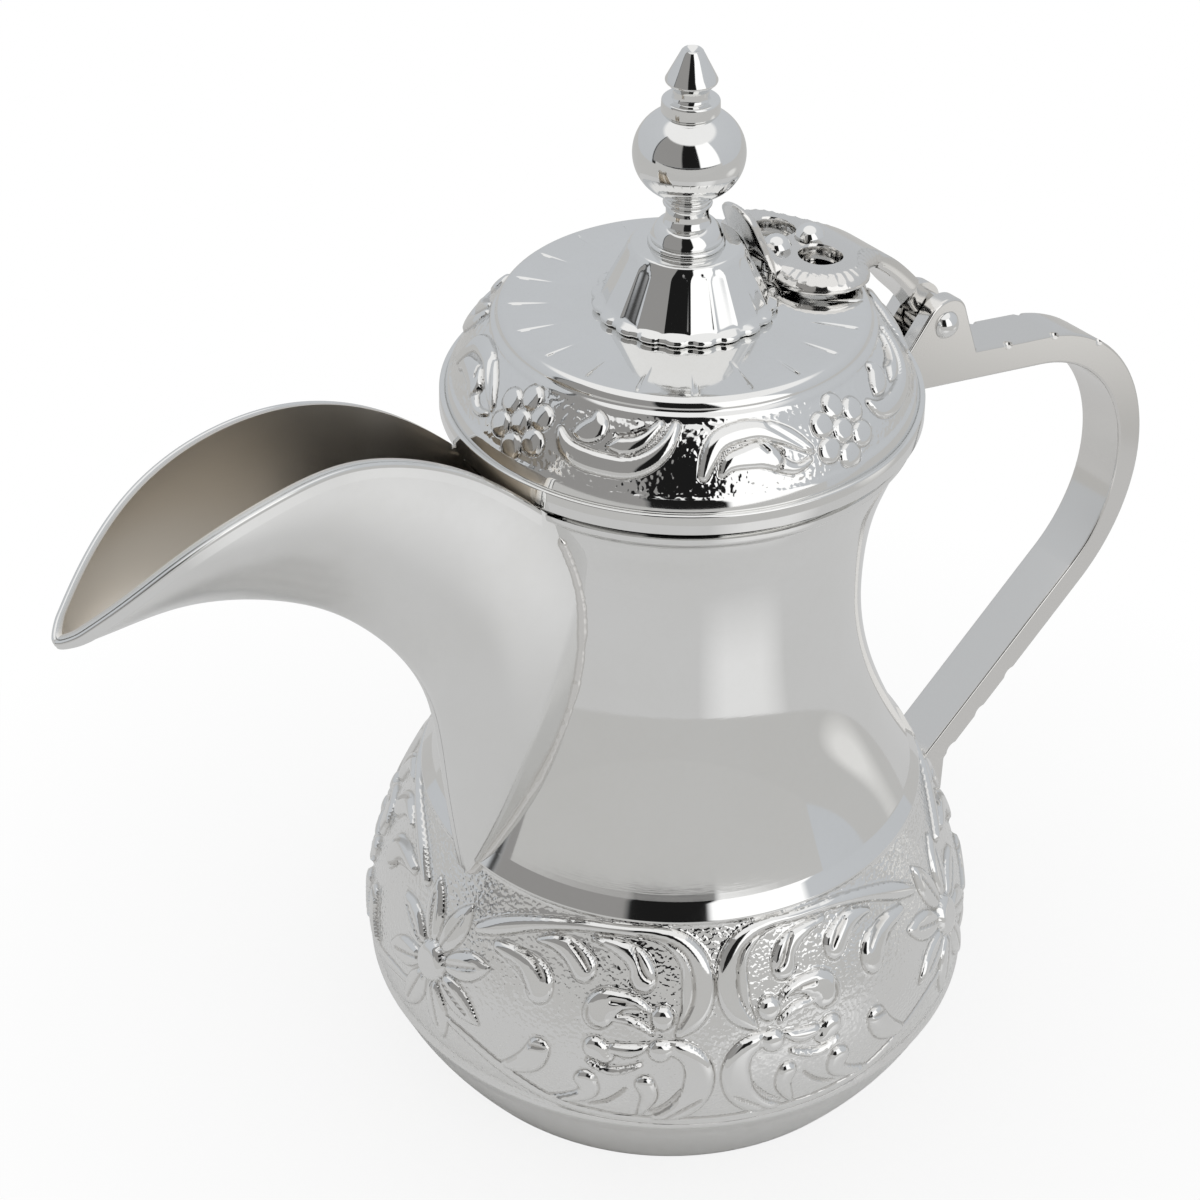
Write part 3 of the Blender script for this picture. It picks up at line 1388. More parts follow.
@dataclass
class Handle:
    """Cast handle with its hinge ears, and the domed pin through them."""

    pot: PotBody
    half_width: float = 6.5
    thickness: float = 7.7
    pin: Pair = (72.5, 165.5)
    pin_radius: float = 1.9
    pin_head: Pair = (3.3, 2.3)
    ear_radius: float = 6.5
    arm_back: Pair = (83.4, 155.0)
    arm_drop: float = 10.9
    arm_length: float = 24.9
    upper_bend: float = 48.4
    lower_bend: float = 43.5
    lower_angle: float = 50.0
    heel_low: float = 21.5
    heel_step: float = 2.5
    heel_height: float = 10.5
    foot_neck: float = 5.0
    root_top: float = 161.5
    root_front: float = 60.8
    slot_half: float = 2.8
    slot_floor: float = 159.5
    slot_reach: Pair = (12.1, 16.5)
    nick_radius: float = 1.5
    nick_steps: tuple[float, ...] = (10.9, 27.0)
    nick_bend: float = 24.0
    notch_radius: float = 2.4
    notch_proud: float = 1.1
    notch_steps: tuple[float, ...] = (-0.4, 11.6, 24.0)
    inside: float = 30.0

    @staticmethod
    def heading(degrees: float) -> Array:
        """Direction in the side view."""
        return np.array([math.cos(math.radians(degrees)), math.sin(math.radians(degrees))])

    def bar(self, inset: float) -> dict[str, Array]:
        """Corners of the bar's line, moved in from its outer edge.

        Args:
            inset: How far in from the outer edge.

        Returns:
            Points and directions of the line by name.
        """
        across, along = self.heading(90 - self.arm_drop), self.heading(-self.arm_drop)
        back = np.array(self.arm_back)
        end = back + along * self.arm_length
        upper = end - across * self.upper_bend
        lower = upper + (self.upper_bend - self.lower_bend, 0)
        lower_end = lower + self.heading(-self.lower_angle) * (self.lower_bend - inset)
        down = self.heading(-self.lower_angle - 90)
        drop = lower_end[1] - self.heel_low - self.heel_height - self.heel_step
        return {"back": back - across * inset, "upper": upper, "lower": lower, "lower_end": lower_end,
                "down": down, "along": along, "heel": lower_end + down * (drop / -down[1])}

    def touch(self, point: Array, turn: int) -> float:
        """Angle at which a line from a point touches the ear, in degrees."""
        gap = point - np.array(self.pin)
        return math.degrees(math.atan2(gap[1], gap[0]) + turn * math.acos(self.ear_radius / math.hypot(*gap)))

    def side_view(self) -> Array:
        """Closed outline of the casting, run on into the pot at root and foot.

        Returns:
            X and Z of each point.
        """
        outer, inner = self.bar(0.0), self.bar(self.thickness)
        heel_top = outer["heel"] - self.heel_step
        drop = inner["lower_end"][1] - self.heel_low - self.foot_neck
        inner_foot = inner["lower_end"] + inner["down"] * (drop / -inner["down"][1])
        slope = math.tan(math.radians(self.arm_drop))
        root_low = inner["back"][1] + slope * (inner["back"][0] - self.inside)
        top_angle = 90 - self.arm_drop
        pen = Outline(self.inside, root_low)
        pen.arc(inner["upper"], top_angle, 0, self.upper_bend - self.thickness, 36)
        pen.arc(inner["lower"], 0, -self.lower_angle, self.lower_bend - self.thickness, 24)
        pen.line(*inner_foot).line(self.inside, inner_foot[1]).line(self.inside, self.heel_low)
        pen.line(heel_top[0], self.heel_low).line(*heel_top).line(*outer["heel"])
        pen.arc(outer["lower"], -self.lower_angle, 0, self.lower_bend, 28)
        pen.arc(outer["upper"], 0, top_angle, self.upper_bend, 40)
        pen.line(*outer["back"])
        front = np.array((self.root_front, self.root_top))
        pen.arc(self.pin, self.touch(outer["back"], 1), self.touch(front, -1) % 360, self.ear_radius, 30)
        pen.line(*front).line(self.inside, self.root_top)
        return pen.drawn()

    def tools(self) -> list[Piece]:
        """Solids that are cut from the casting: slot, nicks and notches.

        Returns:
            The solids.
        """
        bar = self.bar(0.0)
        x, z = self.pin
        front, behind = self.slot_reach
        cuts = [Bench.block(
            (x - front, -self.slot_half, self.slot_floor), (x + behind, self.slot_half, z + 40))]
        nicks = [bar["back"] + bar["along"] * step for step in self.nick_steps]
        nicks.append(bar["upper"] + self.heading(90 - self.arm_drop - self.nick_bend) * self.upper_bend)
        for nick in nicks:
            for side in (-1, 1):
                cuts.append(Bench.ball(self.nick_radius, (nick[0], side * self.half_width, nick[1])))
        out = self.heading(-self.lower_angle)
        for step in self.notch_steps:
            spot = bar["heel"] - bar["down"] * step + out * self.notch_proud
            place = (spot[0], 0, spot[1])
            cuts.append(Bench.rod(self.notch_radius, 3 * self.half_width, place, True, 48))
        return cuts

    def casting(self) -> Piece:
        """The casting with rounded edges, coped to the pot.

        Returns:
            The casting.
        """
        piece = Bench.slab("handle_casting", self.side_view(), self.half_width)
        Bench.bevelled(piece, 0.7, 3)
        mouth_radius, mouth_height = self.pot.mouth
        Bench.worked(piece, self.tools(), Cut.TAKE_AWAY)
        Bench.worked(piece, [self.pot.block(mouth_radius - 4, mouth_height)], Cut.TAKE_AWAY)
        Bench.soften(piece, 30.0, weigh=True)
        return piece

    def pin_piece(self) -> Piece:
        """Hinge pin with a domed head on both sides.

        Returns:
            The pin.
        """
        length = 2 * self.half_width + 0.1
        piece = button_rivet("hinge_pin_domed", self.pin_radius, length, self.pin_head, self.pin_head)
        place = Matrix.Translation(Vector((self.pin[0], length / 2, self.pin[1])) * MM)
        piece.data.transform(place @ Matrix.Rotation(math.pi / 2, 4, "X"))
        return piece

    def build(self) -> None:
        """Make and settle the casting and its pin."""
        settle(self.casting(), CAST_PLATE, Body.POT, Slot.CAST, "handle")
        settle(self.pin_piece(), MIRROR_PLATE, Body.POT, Slot.BRIGHT, "hinge_pin")


def button_rivet(name: str, shank: float, length: float, head: Pair,
                 tail: Pair) -> Piece:
    """Rivet along +Z with a domed button at each end, its shank starting at the origin.

    Args:
        name: Name of the piece.
        shank: Radius of the shank.
        length: Length of the shank.
        head: Radius and height of the upper button.
        tail: Radius and height of the lower button.

    Returns:
        The closed rivet.
    """
    pen = Outline(0.0, -tail[1])
    for radius, height, low, turn in ((*tail, 0.0, -1), (*head, length, 1)):
        ball = (radius ** 2 + height ** 2) / (2 * height)
        reach = math.degrees(math.asin(min(1.0, radius / ball)))
        centre = (0.0, low + turn * (height - ball))
        if turn < 0:
            pen.arc(centre, -90, -90 + reach, ball, 10)
            pen.line(radius, 0.0).line(shank, 0.0).line(shank, length, 3).line(head[0], length)
        else:
            pen.arc(centre, 90 - reach, 90, ball, 14)
    return Bench.spun(name, pen, 48, 40.0)


# Lid


@dataclass
class Lid:
    """Embossed lid sheet with its fluted cone, flange ring and skirt."""

    base: float = 169.8
    radius: float = 50.2
    band_low: float = 174.3
    crease: Pair = (39.4, 191.1)
    bulge: float = 1.5
    edge_radius: float = 2.2
    plate: float = 193.3
    sheet: float = 1.2
    hole: float = 13.0
    steps: int = 640
    cluster_at: float = 185.0
    repeat: float = 90.0
    mm_per_degree: float = 0.8
    band_length: float = 20.3
    field: Triple = (2.4, 18.9, 0.45)
    punch: tuple[float, int, int] = (1.15, 250, 11)
    disc_rise: float = 0.8
    disc: Triple = (10.2, 5.4, 2.68)
    rays: int = 20
    ray_span: Pair = (24.0, 36.8)
    ray_width: float = 0.5
    ray_depth: float = 0.32
    flange_radius: float = 51.6
    flange_height: float = 4.4
    cone_low: float = 193.42
    cone_high: float = 207.62
    cone_radii: Pair = (18.6, 11.6)
    cone_wall: float = 1.44
    bore: float = 2.54
    flutes: int = 20
    flute_depth: float = 0.3
    skirt: Triple = (44.99, 161.8, 171.24)
    seat: float = 48.88

    def strokes(self) -> list[Stroke]:
        """One repeat of the band: a cluster of seven discs, a smile with leaflets, and an arch.

        Returns:
            The strokes, measured in millimetres from the cluster's middle.
        """
        drawn = (
            (1.1, ((197.5, 12, .8), (200, 9.6, 1.7), (205, 8.2, 2.2), (212, 7.9, 2.2), (218, 8.4, 2.2),
                   (223, 10.6, 1.9), (226.5, 14, 1.5), (228.3, 17.2, 1))),
            (1.1, ((202, 12.6, .8), (205, 13.6, 2.4), (207, 15, 2.4), (206.5, 17, 1.2))),
            (1.1, ((211.5, 11.6, .5), (215, 12.3, 1.8), (219, 13.5, 1.6), (222, 15.6, 1.1), (224, 17.4, .8))),
            (-.35, ((213, 14.2, .5), (217, 14.6, .7), (220.5, 16.2, .5))),
            (1.1, ((235.5, 7.2, .9), (237, 11, 1.7), (239.5, 14, 2), (245, 15.6, 2.1), (250, 15.6, 2),
                   (256, 13.8, 1.8), (260.5, 11.3, 1.3), (264, 8.6, .5))),
            (1.05, ((240, 7.5, .6), (242, 9.6, 1.6), (246, 10.4, 2.2), (251, 10.4, 2.6), (254, 8.5, 1.8),
                    (259, 6.3, 1), (263, 7.2, .5))),
            (-.4, ((254, 12, .35), (255.8, 10.5, .5), (253.5, 6.5, .35))),
            (-.3, ((250, 13, .3), (252, 11, .4))),
            (0.9, ((254.5, 16.3, .5), (259.5, 13.4, .9), (264, 9.4, .5))),
        )
        strokes = [
            Stroke(points, rise).unrolled(self.cluster_at, self.mm_per_degree) for rise, points in drawn]
        height, pitch, half = self.disc
        spots = [(0.0, 0.0), *((pitch * math.cos(turn), pitch * math.sin(turn))
                               for turn in np.radians(np.arange(30, 360, 60)))]
        return strokes + [Stroke(((x, height + y, half),), self.disc_rise) for x, y in spots]

    def band_arc(self) -> tuple[Array, float]:
        """Centre and radius of the band's section.

        Returns:
            The centre by radius and height, and the arc's radius.
        """
        crease, foot = np.array(self.crease), np.array((self.radius, self.band_low))
        chord = foot - crease
        outward = np.array((-chord[1], chord[0])) / np.hypot(*chord)
        radius = ((np.hypot(*chord) / 2) ** 2 + self.bulge ** 2) / (2 * self.bulge)
        return (crease + foot) / 2 + outward * (self.bulge - radius), radius

    def sheet_piece(self) -> Piece:
        """Plate, rolled edge and embossed band in one sheet.

        Returns:
            The sheet, with its ground, edges and grooves marked.
        """
        centre, reach = self.band_arc()
        edge = (self.crease[0] - self.edge_radius, self.crease[1])

        def bearing(point: Sequence[float]) -> float:
            """Angle of a point about the band's centre."""
            return math.degrees(math.atan2(point[1] - centre[1], point[0] - centre[0]))

        top, foot = bearing(self.crease), bearing((self.radius, self.band_low))
        thin = self.sheet
        inner_foot, low = self.radius - thin, self.base + 0.12
        pen = Outline(self.hole, self.plate - thin).line(self.hole, self.plate).line(edge[0], self.plate, 28)
        pen.arc(edge, 90, 0, self.edge_radius, 10).arc(centre, top, foot, reach, 54)
        pen.line(self.radius, low, 3).line(inner_foot, low).line(inner_foot, self.band_low)
        pen.arc(centre, foot, top, reach - thin, 12).arc(edge, 0, 90, self.edge_radius - thin, 5)
        pen.line(self.hole + 8, self.plate - thin, 2)
        piece = Bench.turned("lid_sheet", pen.drawn(), self.steps)
        spots = Bench.places(piece)
        wide = np.hypot(spots[:, 0], spots[:, 1])
        angle = np.degrees(np.arctan2(spots[:, 1], spots[:, 0]))
        offset = np.stack([wide, spots[:, 2]], axis=1) - centre
        far = np.linalg.norm(offset, axis=1)
        tilt = np.degrees(np.arctan2(offset[:, 1], offset[:, 0]))
        on_band = (np.abs(far - reach) < 0.05) & (tilt > foot - 0.01) & (tilt < top + 0.01)
        up = np.clip((tilt - foot) / (top - foot), 0, 1) * self.band_length
        across = ((angle - self.cluster_at + 10) % self.repeat - 10) * self.mm_per_degree
        lift, _ = Ornament(self.strokes()).emboss(piece, on_band, (across, up, angle), self.field, self.punch)
        lift = np.where(on_band, lift, 0.0)
        spots[:, :2] *= (1 + lift * offset[:, 0] / far / wide)[:, None]
        spots[:, 2] += lift * offset[:, 1] / far
        on_plate = (np.abs(spots[:, 2] - self.plate) < 0.01) & (wide < edge[0] + 0.1)
        step = 360 / self.rays
        aside = np.abs((angle + step / 2) % step - step / 2) * np.pi / 180 * wide
        near, end = self.ray_span
        reach_in = ease(near, end - 0.8, wide) * (1 - ease(end - 0.6, end, wide))
        ray = np.clip(1 - aside / self.ray_width, 0, 1) * reach_in
        spots[:, 2] -= np.where(on_plate, self.ray_depth * ray, 0.0)
        Bench.put(piece, spots)
        Bench.soften(piece, 60.0)
        return piece

    def cone_piece(self) -> Piece:
        """Hollow cone with flutes that end in round tops, on a beaded foot.

        Returns:
            The cone.
        """
        (wide, narrow), low, high = self.cone_radii, self.cone_low, self.cone_high
        pen = Outline(wide - self.cone_wall, low).line(wide - 0.1, low)
        pen.arc((wide - 0.2, low + 0.85), -80, 60, 0.85, 9)
        for share in np.linspace(0.14, 0.94, 26):
            pen.line(wide + (narrow - wide) * share, low + (high - low) * share)
        pen.arc((narrow - 0.75, high - 0.9), 24, 90, 0.9, 7).line(self.bore, high, 4)
        pen.line(self.bore, high - self.sheet).line(narrow - 0.6, high - self.sheet, 3)
        piece = Bench.turned("fluted_cone", pen.drawn(), self.flutes * 14)
        spots = Bench.places(piece)
        reach = np.hypot(spots[:, 0], spots[:, 1])
        share = np.clip((spots[:, 2] - low) / (high - low), 0, 1)
        line = wide + (narrow - wide) * share
        skin = reach > line - 0.5
        step = 360 / self.flutes
        phase = (np.degrees(np.arctan2(spots[:, 1], spots[:, 0])) / step) % 1 - 0.5
        width = 0.46 * np.sqrt(np.clip((0.93 - share) / 0.10, 0, 1))
        dip = np.sqrt(np.clip(1 - (phase / np.maximum(width, 0.01)) ** 2, 0, 1))
        scoop = np.where(width > 0.01, dip, 0.0)
        flute = self.flute_depth * scoop * (0.45 + 0.55 * (1 - share)) * ease(0.13, 0.17, share)
        bead = (0.7 * np.sqrt(np.clip(1 - (phase / 0.36) ** 2, 0, 1)) - 0.4) * (share < 0.13)
        move = np.where(skin, bead - flute, 0.0)
        spots[:, :2] *= ((reach + move) / reach)[:, None]
        Bench.put(piece, spots)
        Bench.soften(piece, 50.0)
        return piece

    def flange_piece(self) -> Piece:
        """Ring round the lid's lower edge.

        Returns:
            The ring.
        """
        low, high, out = self.base, self.base + self.flange_height, self.flange_radius
        inner = self.radius + 0.02
        pen = Outline(inner, low).line(out - 0.25, low).arc((out - 0.25, low + 0.25), -90, 0, 0.25, 3)
        pen.arc((out - 0.5, high - 0.4), 0, 90, 0.4, 5).line(inner + 0.25, high - 0.1).line(inner, high - 0.4)
        return Bench.spun("lid_flange", pen, 256)

    def skirt_piece(self) -> Piece:
        """Ring inside the lid that drops into the mouth.

        Returns:
            The ring.
        """
        out, low, high = self.skirt
        inner = out - self.sheet
        pen = Outline(self.seat, high).line(inner + 0.3, high).line(inner, high - 0.4)
        pen.line(inner, low + 0.3, 3).line(inner + 0.3, low).line(out - 0.3, low).line(out, low + 0.3)
        pen.line(out, high - self.sheet, 3)
        return Bench.spun("lid_inner_skirt", pen.line(self.seat, high - self.sheet), 192)

    def build(self) -> None:
        """Make and settle the lid's sheet metal."""
        for make, finish, node in (
                (self.sheet_piece, EMBOSSED_LID, "lid_dome"), (self.cone_piece, MIRROR_PLATE, "lid_cone"),
                (self.flange_piece, MIRROR_PLATE, "lid_flange_ring"),
                (self.skirt_piece, MIRROR_PLATE, "lid_skirt")):
            settle(make(), finish, Body.LID, Slot.BRIGHT, node)


@dataclass
class Finial:
    """Turned baluster on its washer."""

    washer_low: float = 207.62
    washer_radius: float = 8.0
    base: float = 208.62
    bore: float = 2.54
    bore_top: float = 14.04

    def washer_piece(self) -> Piece:
        """Lower tier under the finial.

        Returns:
            The washer.
        """
        low, high, out = self.washer_low, self.base, self.washer_radius
        pen = Outline(self.bore, low).line(out - 0.5, low).arc((out - 0.5, low + 0.5), -90, 0, 0.5, 4)
        pen.arc((out - 0.6, high - 0.6), 0, 90, 0.6, 5).line(self.bore, high)
        return Bench.spun("finial_tier", pen, 128)

    def baluster(self) -> Piece:
        """Flared base, ball, collar, neck and hollow-pointed tip.

        Returns:
            The finial.
        """
        z = self.base
        pen = Outline(self.bore, z).line(7.1, z).arc((7.1, z + 0.4), -90, 0, 0.4, 4)
        pen.line(7.5, z + 0.75).line(7.3, z + 1.0).bend((7.0, z + 2.5), (6.0, z + 3.6), (5.0, z + 3.8), 12)
        pen.line(4.85, z + 4.2).bend((4.3, z + 5.0), (4.3, z + 6.6), (4.65, z + 7.5), 8)
        pen.arc((4.6, z + 8.1), -80, 80, 0.5, 6).arc((4.6, z + 9.2), -80, 80, 0.5, 6).line(4.95, z + 10.3)
        pen.through((11.5, z + 19.6), (5.9, z + 27.7), 44)
        pen.line(5.55, z + 28.0).arc((5.5, z + 28.5), -60, 0, 0.5, 4).arc((5.4, z + 30.5), 0, 90, 0.5, 5)
        pen.line(3.9, z + 31.1).line(3.7, z + 31.5).line(3.7, z + 33.0, 2)
        pen.arc((4.7, z + 35.0), -70, 12, 0.6, 6).line(2.2, z + 41.1, 5).line(1.9, z + 41.4)
        pen.line(1.5, z + 41.3).line(0.0, z + 40.4, 3)
        pen.line(0.0, z + self.bore_top).line(self.bore, z + self.bore_top)
        return Bench.spun("finial_baluster", pen, 128, 35.0)

    def build(self) -> None:
        """Make and settle the two turned pieces."""
        settle(self.washer_piece(), MIRROR_PLATE, Body.LID, Slot.BRIGHT, "finial_washer")
        settle(self.baluster(), MIRROR_PLATE, Body.LID, Slot.BRIGHT, "finial")


@dataclass
class HingeStrap:
    """Lobed strap from the thumb tab to the tongue on the pin, with its two rivets."""

    pin: Pair = (72.5, 165.5)
    line: tuple[Triple, ...] = (
        (59.5, 47.2, 1.5), (57.4, 43.7, 1.8), (55.2, 39.3, 2.0), (53.0, 35.5, 2.3), (50.6, 33.3, 2.8),
        (47.6, 32.5, 3.2), (41.7, 32.4, 3.4), (36.0, 31.7, 3.4), (24.5, 27.2, 3.5), (14.5, 19.6, 3.8),
        (7.0, 12.0, 4.6), (-1.0, 4.6, 6.8))
    tab_half: float = 5.2
    lobe: Triple = (30.0, 8.8, 10.9)
    lobe_level: float = 197.9
    fold: Pair = (5.2, 7.4)
    neck: tuple[Pair, ...] = ((42.4, 11.8), (50.0, 7.2), (64.0, 6.0))
    tongue_half: float = 2.5
    tongue_radius: float = 5.0
    eye: Triple = (30.8, 7.6, 4.6)
    rivets: Pair = (25.0, 34.4)
    rivet_low: float = 191.06
    rivet_head: Pair = (3.2, 2.2)
    rivet_tail: Pair = (2.1, 0.9)
    rivet_radius: float = 1.9
    rivet_lift: float = 1.5
    boss_low: float = 193.42
    boss_radius: float = 3.0
    lip_inset: float = 2.7
    side_inset: float = 0.7
    gadroons: float = 2.3
    tuck: float = 0.4
    rows: int = 400
    columns: int = 50

    def faces(self) -> tuple[Array, Array]:
        """Top line of the side view by X and Z, and the way from it through the sheet to its underside.

        Returns:
            The line's points, and one vector for each.
        """
        x, z = self.pin
        line = smooth_line([(x - ahead, z + above, thick) for ahead, above, thick in self.line], 400)
        heading = np.gradient(line[:, :2], axis=0)
        heading /= np.linalg.norm(heading, axis=1)[:, None]
        return line[:, :2], np.column_stack([heading[:, 1], -heading[:, 0]]) * line[:, 2:]

    def edge(self, count: int) -> Array:
        """Plan of one side by X and half width, from the tip of the tab to the tongue.

        Args:
            count: Number of points.

        Returns:
            Points at even steps along the edge.
        """
        x, y, radius = self.lobe
        pen = Outline(13.0, 0.0).bend((13.0, 2.9), (14.2, self.tab_half), (15.6, self.tab_half), 16)
        pen.line(18.7, self.tab_half, 6).bend((19.0, 6.2), (19.1, 8.5), (19.3, 10.9), 14)
        pen.arc((x, y), 169, 30, radius, 60)
        for place, half in self.neck:
            pen.line(place, half, 14)
        pen.line(66.0, self.tongue_half + 0.6, 4).line(67.0, self.tongue_half, 3)
        points = pen.line(73.1, self.tongue_half, 6).line(73.5, 0.0, 3).drawn()
        for steps in (400, count):
            knots = run_length(points)
            even = np.linspace(0, knots[-1], steps)
            points = np.column_stack([np.interp(even, knots, points[:, axis]) for axis in (0, 1)])
            for _ in range(20 if steps == 400 else 0):
                points[1:-1] = (points[:-2] + 2 * points[1:-1] + points[2:]) / 4
        return points

    def plate_piece(self) -> Piece:
        """The lobed plate as one closed skin: a flat top with a scalloped edge over a rounded band.

        Returns:
            The plate.
        """
        top, through = self.faces()
        fine = self.edge(1400)
        place, off = fine.T
        on_lobe = ease(18.7, 19.3, place) * (1 - ease(44.0, 52.0, place)) * ease(5.4, 8.0, off)
        wave = np.abs(np.sin(np.pi * run_length(fine) / self.gadroons))
        inset = self.side_inset + (self.lip_inset - self.side_inset + 0.7 * wave) * on_lobe
        near = Bench.finder(np.column_stack([fine, np.zeros(len(fine))]))
        rows = self.edge(self.rows)
        width = rows[:, 1:]
        y = width * (1 - (1 - np.linspace(0, 1, self.columns)) ** 1.7)
        x = np.broadcast_to(rows[:, :1], y.shape)
        found = np.array([near.find((*spot, 0.0))[1:] for spot in zip(x.ravel(), y.ravel())])
        t = np.clip(1 - found[:, 1] / inset[found[:, 0].astype(int)], 0, 1).reshape(y.shape)
        share = np.where(t > 0, 0.2 + 0.8 * np.sqrt(1 - (0.3 + 0.7 * t) ** 2), 1.0)
        under = np.maximum(width - self.tuck, 0.5 * width) * np.linspace(1, 0, 7)
        y = np.hstack([y, width, under])
        share = np.hstack([share, np.full_like(width, 0.12), np.zeros_like(under)])
        up, ahead, down = (
            np.interp(rows[:, 0], top[:, 0], values)[:, None] for values in (top[:, 1], *through.T))
        flat = np.minimum(up, self.lobe_level)
        off_tab = ease(*self.fold, y) * (up > flat)
        ahead, down = ahead * (1 - off_tab), down - (down + 3.3) * off_tab
        level = up + (flat - up) * off_tab
        half = np.stack([rows[:, :1] + ahead * (1 - share), y, level + down * (1 - share)], axis=2)
        other = half[:, ::-1][:, 1:] * (1, -1, 1)
        piece = Bench.draped("lobed_strap", np.concatenate([half, other], axis=1))
        Bench.close(piece, 0.0001)
        return piece

    def seats(self) -> list[Pair]:
        """Place of each rivet and the height of its seat."""
        top = self.faces()[0]
        return [(x, float(np.interp(x, top[:, 0], top[:, 1])) - 0.7) for x in self.rivets]

    def strap_piece(self) -> Piece:
        """The plate with its barrel, bosses and two eyes.

        Returns:
            The strap.
        """
        piece = self.plate_piece()
        barrel = Bench.rod(self.tongue_radius, 2 * self.tongue_half, (self.pin[0], 0, self.pin[1]), True, 72)
        Bench.bevelled(barrel, 0.3, 2)
        bosses = []
        for x, seat in self.seats():
            low, high = self.boss_low, seat - 0.8
            bosses.append(Bench.rod(self.boss_radius, high - low, (x, 0, (high + low) / 2), False, 48))
        Bench.worked(piece, [barrel, *bosses], Cut.JOIN)
        x, y, radius = self.eye
        top = self.faces()[0]
        height, ahead = (float(np.interp(place, top[:, 0], top[:, 1])) for place in (x, x + 1))
        pen = Outline(0.0, -12.0).line(radius, -12.0).line(radius, -0.7).line(radius + 0.15, -0.3)
        pen.line(radius + 0.45, 0.2).line(radius + 0.45, 4.0).line(0.0, 4.0)
        for side in (-1, 1):
            eye = Bench.turned("eye", pen.drawn(), 72)
            lean = Matrix.Rotation(math.atan(height - ahead), 4, "Y")
            eye.data.transform(Matrix.Translation(Vector((x, side * y, height)) * MM) @ lean)
            Bench.worked(piece, [eye], Cut.TAKE_AWAY)
        Bench.soften(piece, 48.0)
        return piece

    def rivet_pieces(self) -> list[Piece]:
        """The two domed rivets through the strap and the lid.

        Returns:
            The rivets, front one first.
        """
        made = []
        for name, (x, seat) in zip(("front", "rear"), self.seats()):
            length = seat + self.rivet_lift - self.rivet_low
            rivet = button_rivet(
                f"strap_rivet_{name}", self.rivet_radius, length, self.rivet_head, self.rivet_tail)
            rivet.data.transform(Matrix.Translation(Vector((x, 0, self.rivet_low)) * MM))
            made.append(rivet)
        return made

    def build(self) -> None:
        """Make and settle the strap and its rivets."""
        settle(self.strap_piece(), CAST_PLATE, Body.LID, Slot.CAST, "hinge_strap")
        for rivet in self.rivet_pieces():
            settle(rivet, MIRROR_PLATE, Body.LID, Slot.BRIGHT, "strap_rivets")


@dataclass
class InnerFixings:
    """Brass fixings under the lid, kept as the frame has them."""

    nodes: tuple[str, ...] = ("strap_burrs", "finial_stud", "finial_backing_washer", "finial_nut")

    def build(self) -> None:
        """Dress the frame's own nodes in brass."""
        for name in self.nodes:
            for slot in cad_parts[name].material_slots:
                slot.material = BRASS.material()
            LOG.info("%s: kept from the frame in %s", name, BRASS.name)


# Table, light and camera


@dataclass(frozen=True)
class Board:
    """Light or dark board that the metal mirrors, by bearing from the camera and by height, in degrees."""

    left: float
    right: float
    low: float
    high: float
    tone: Triple
    soft: float = 1.5


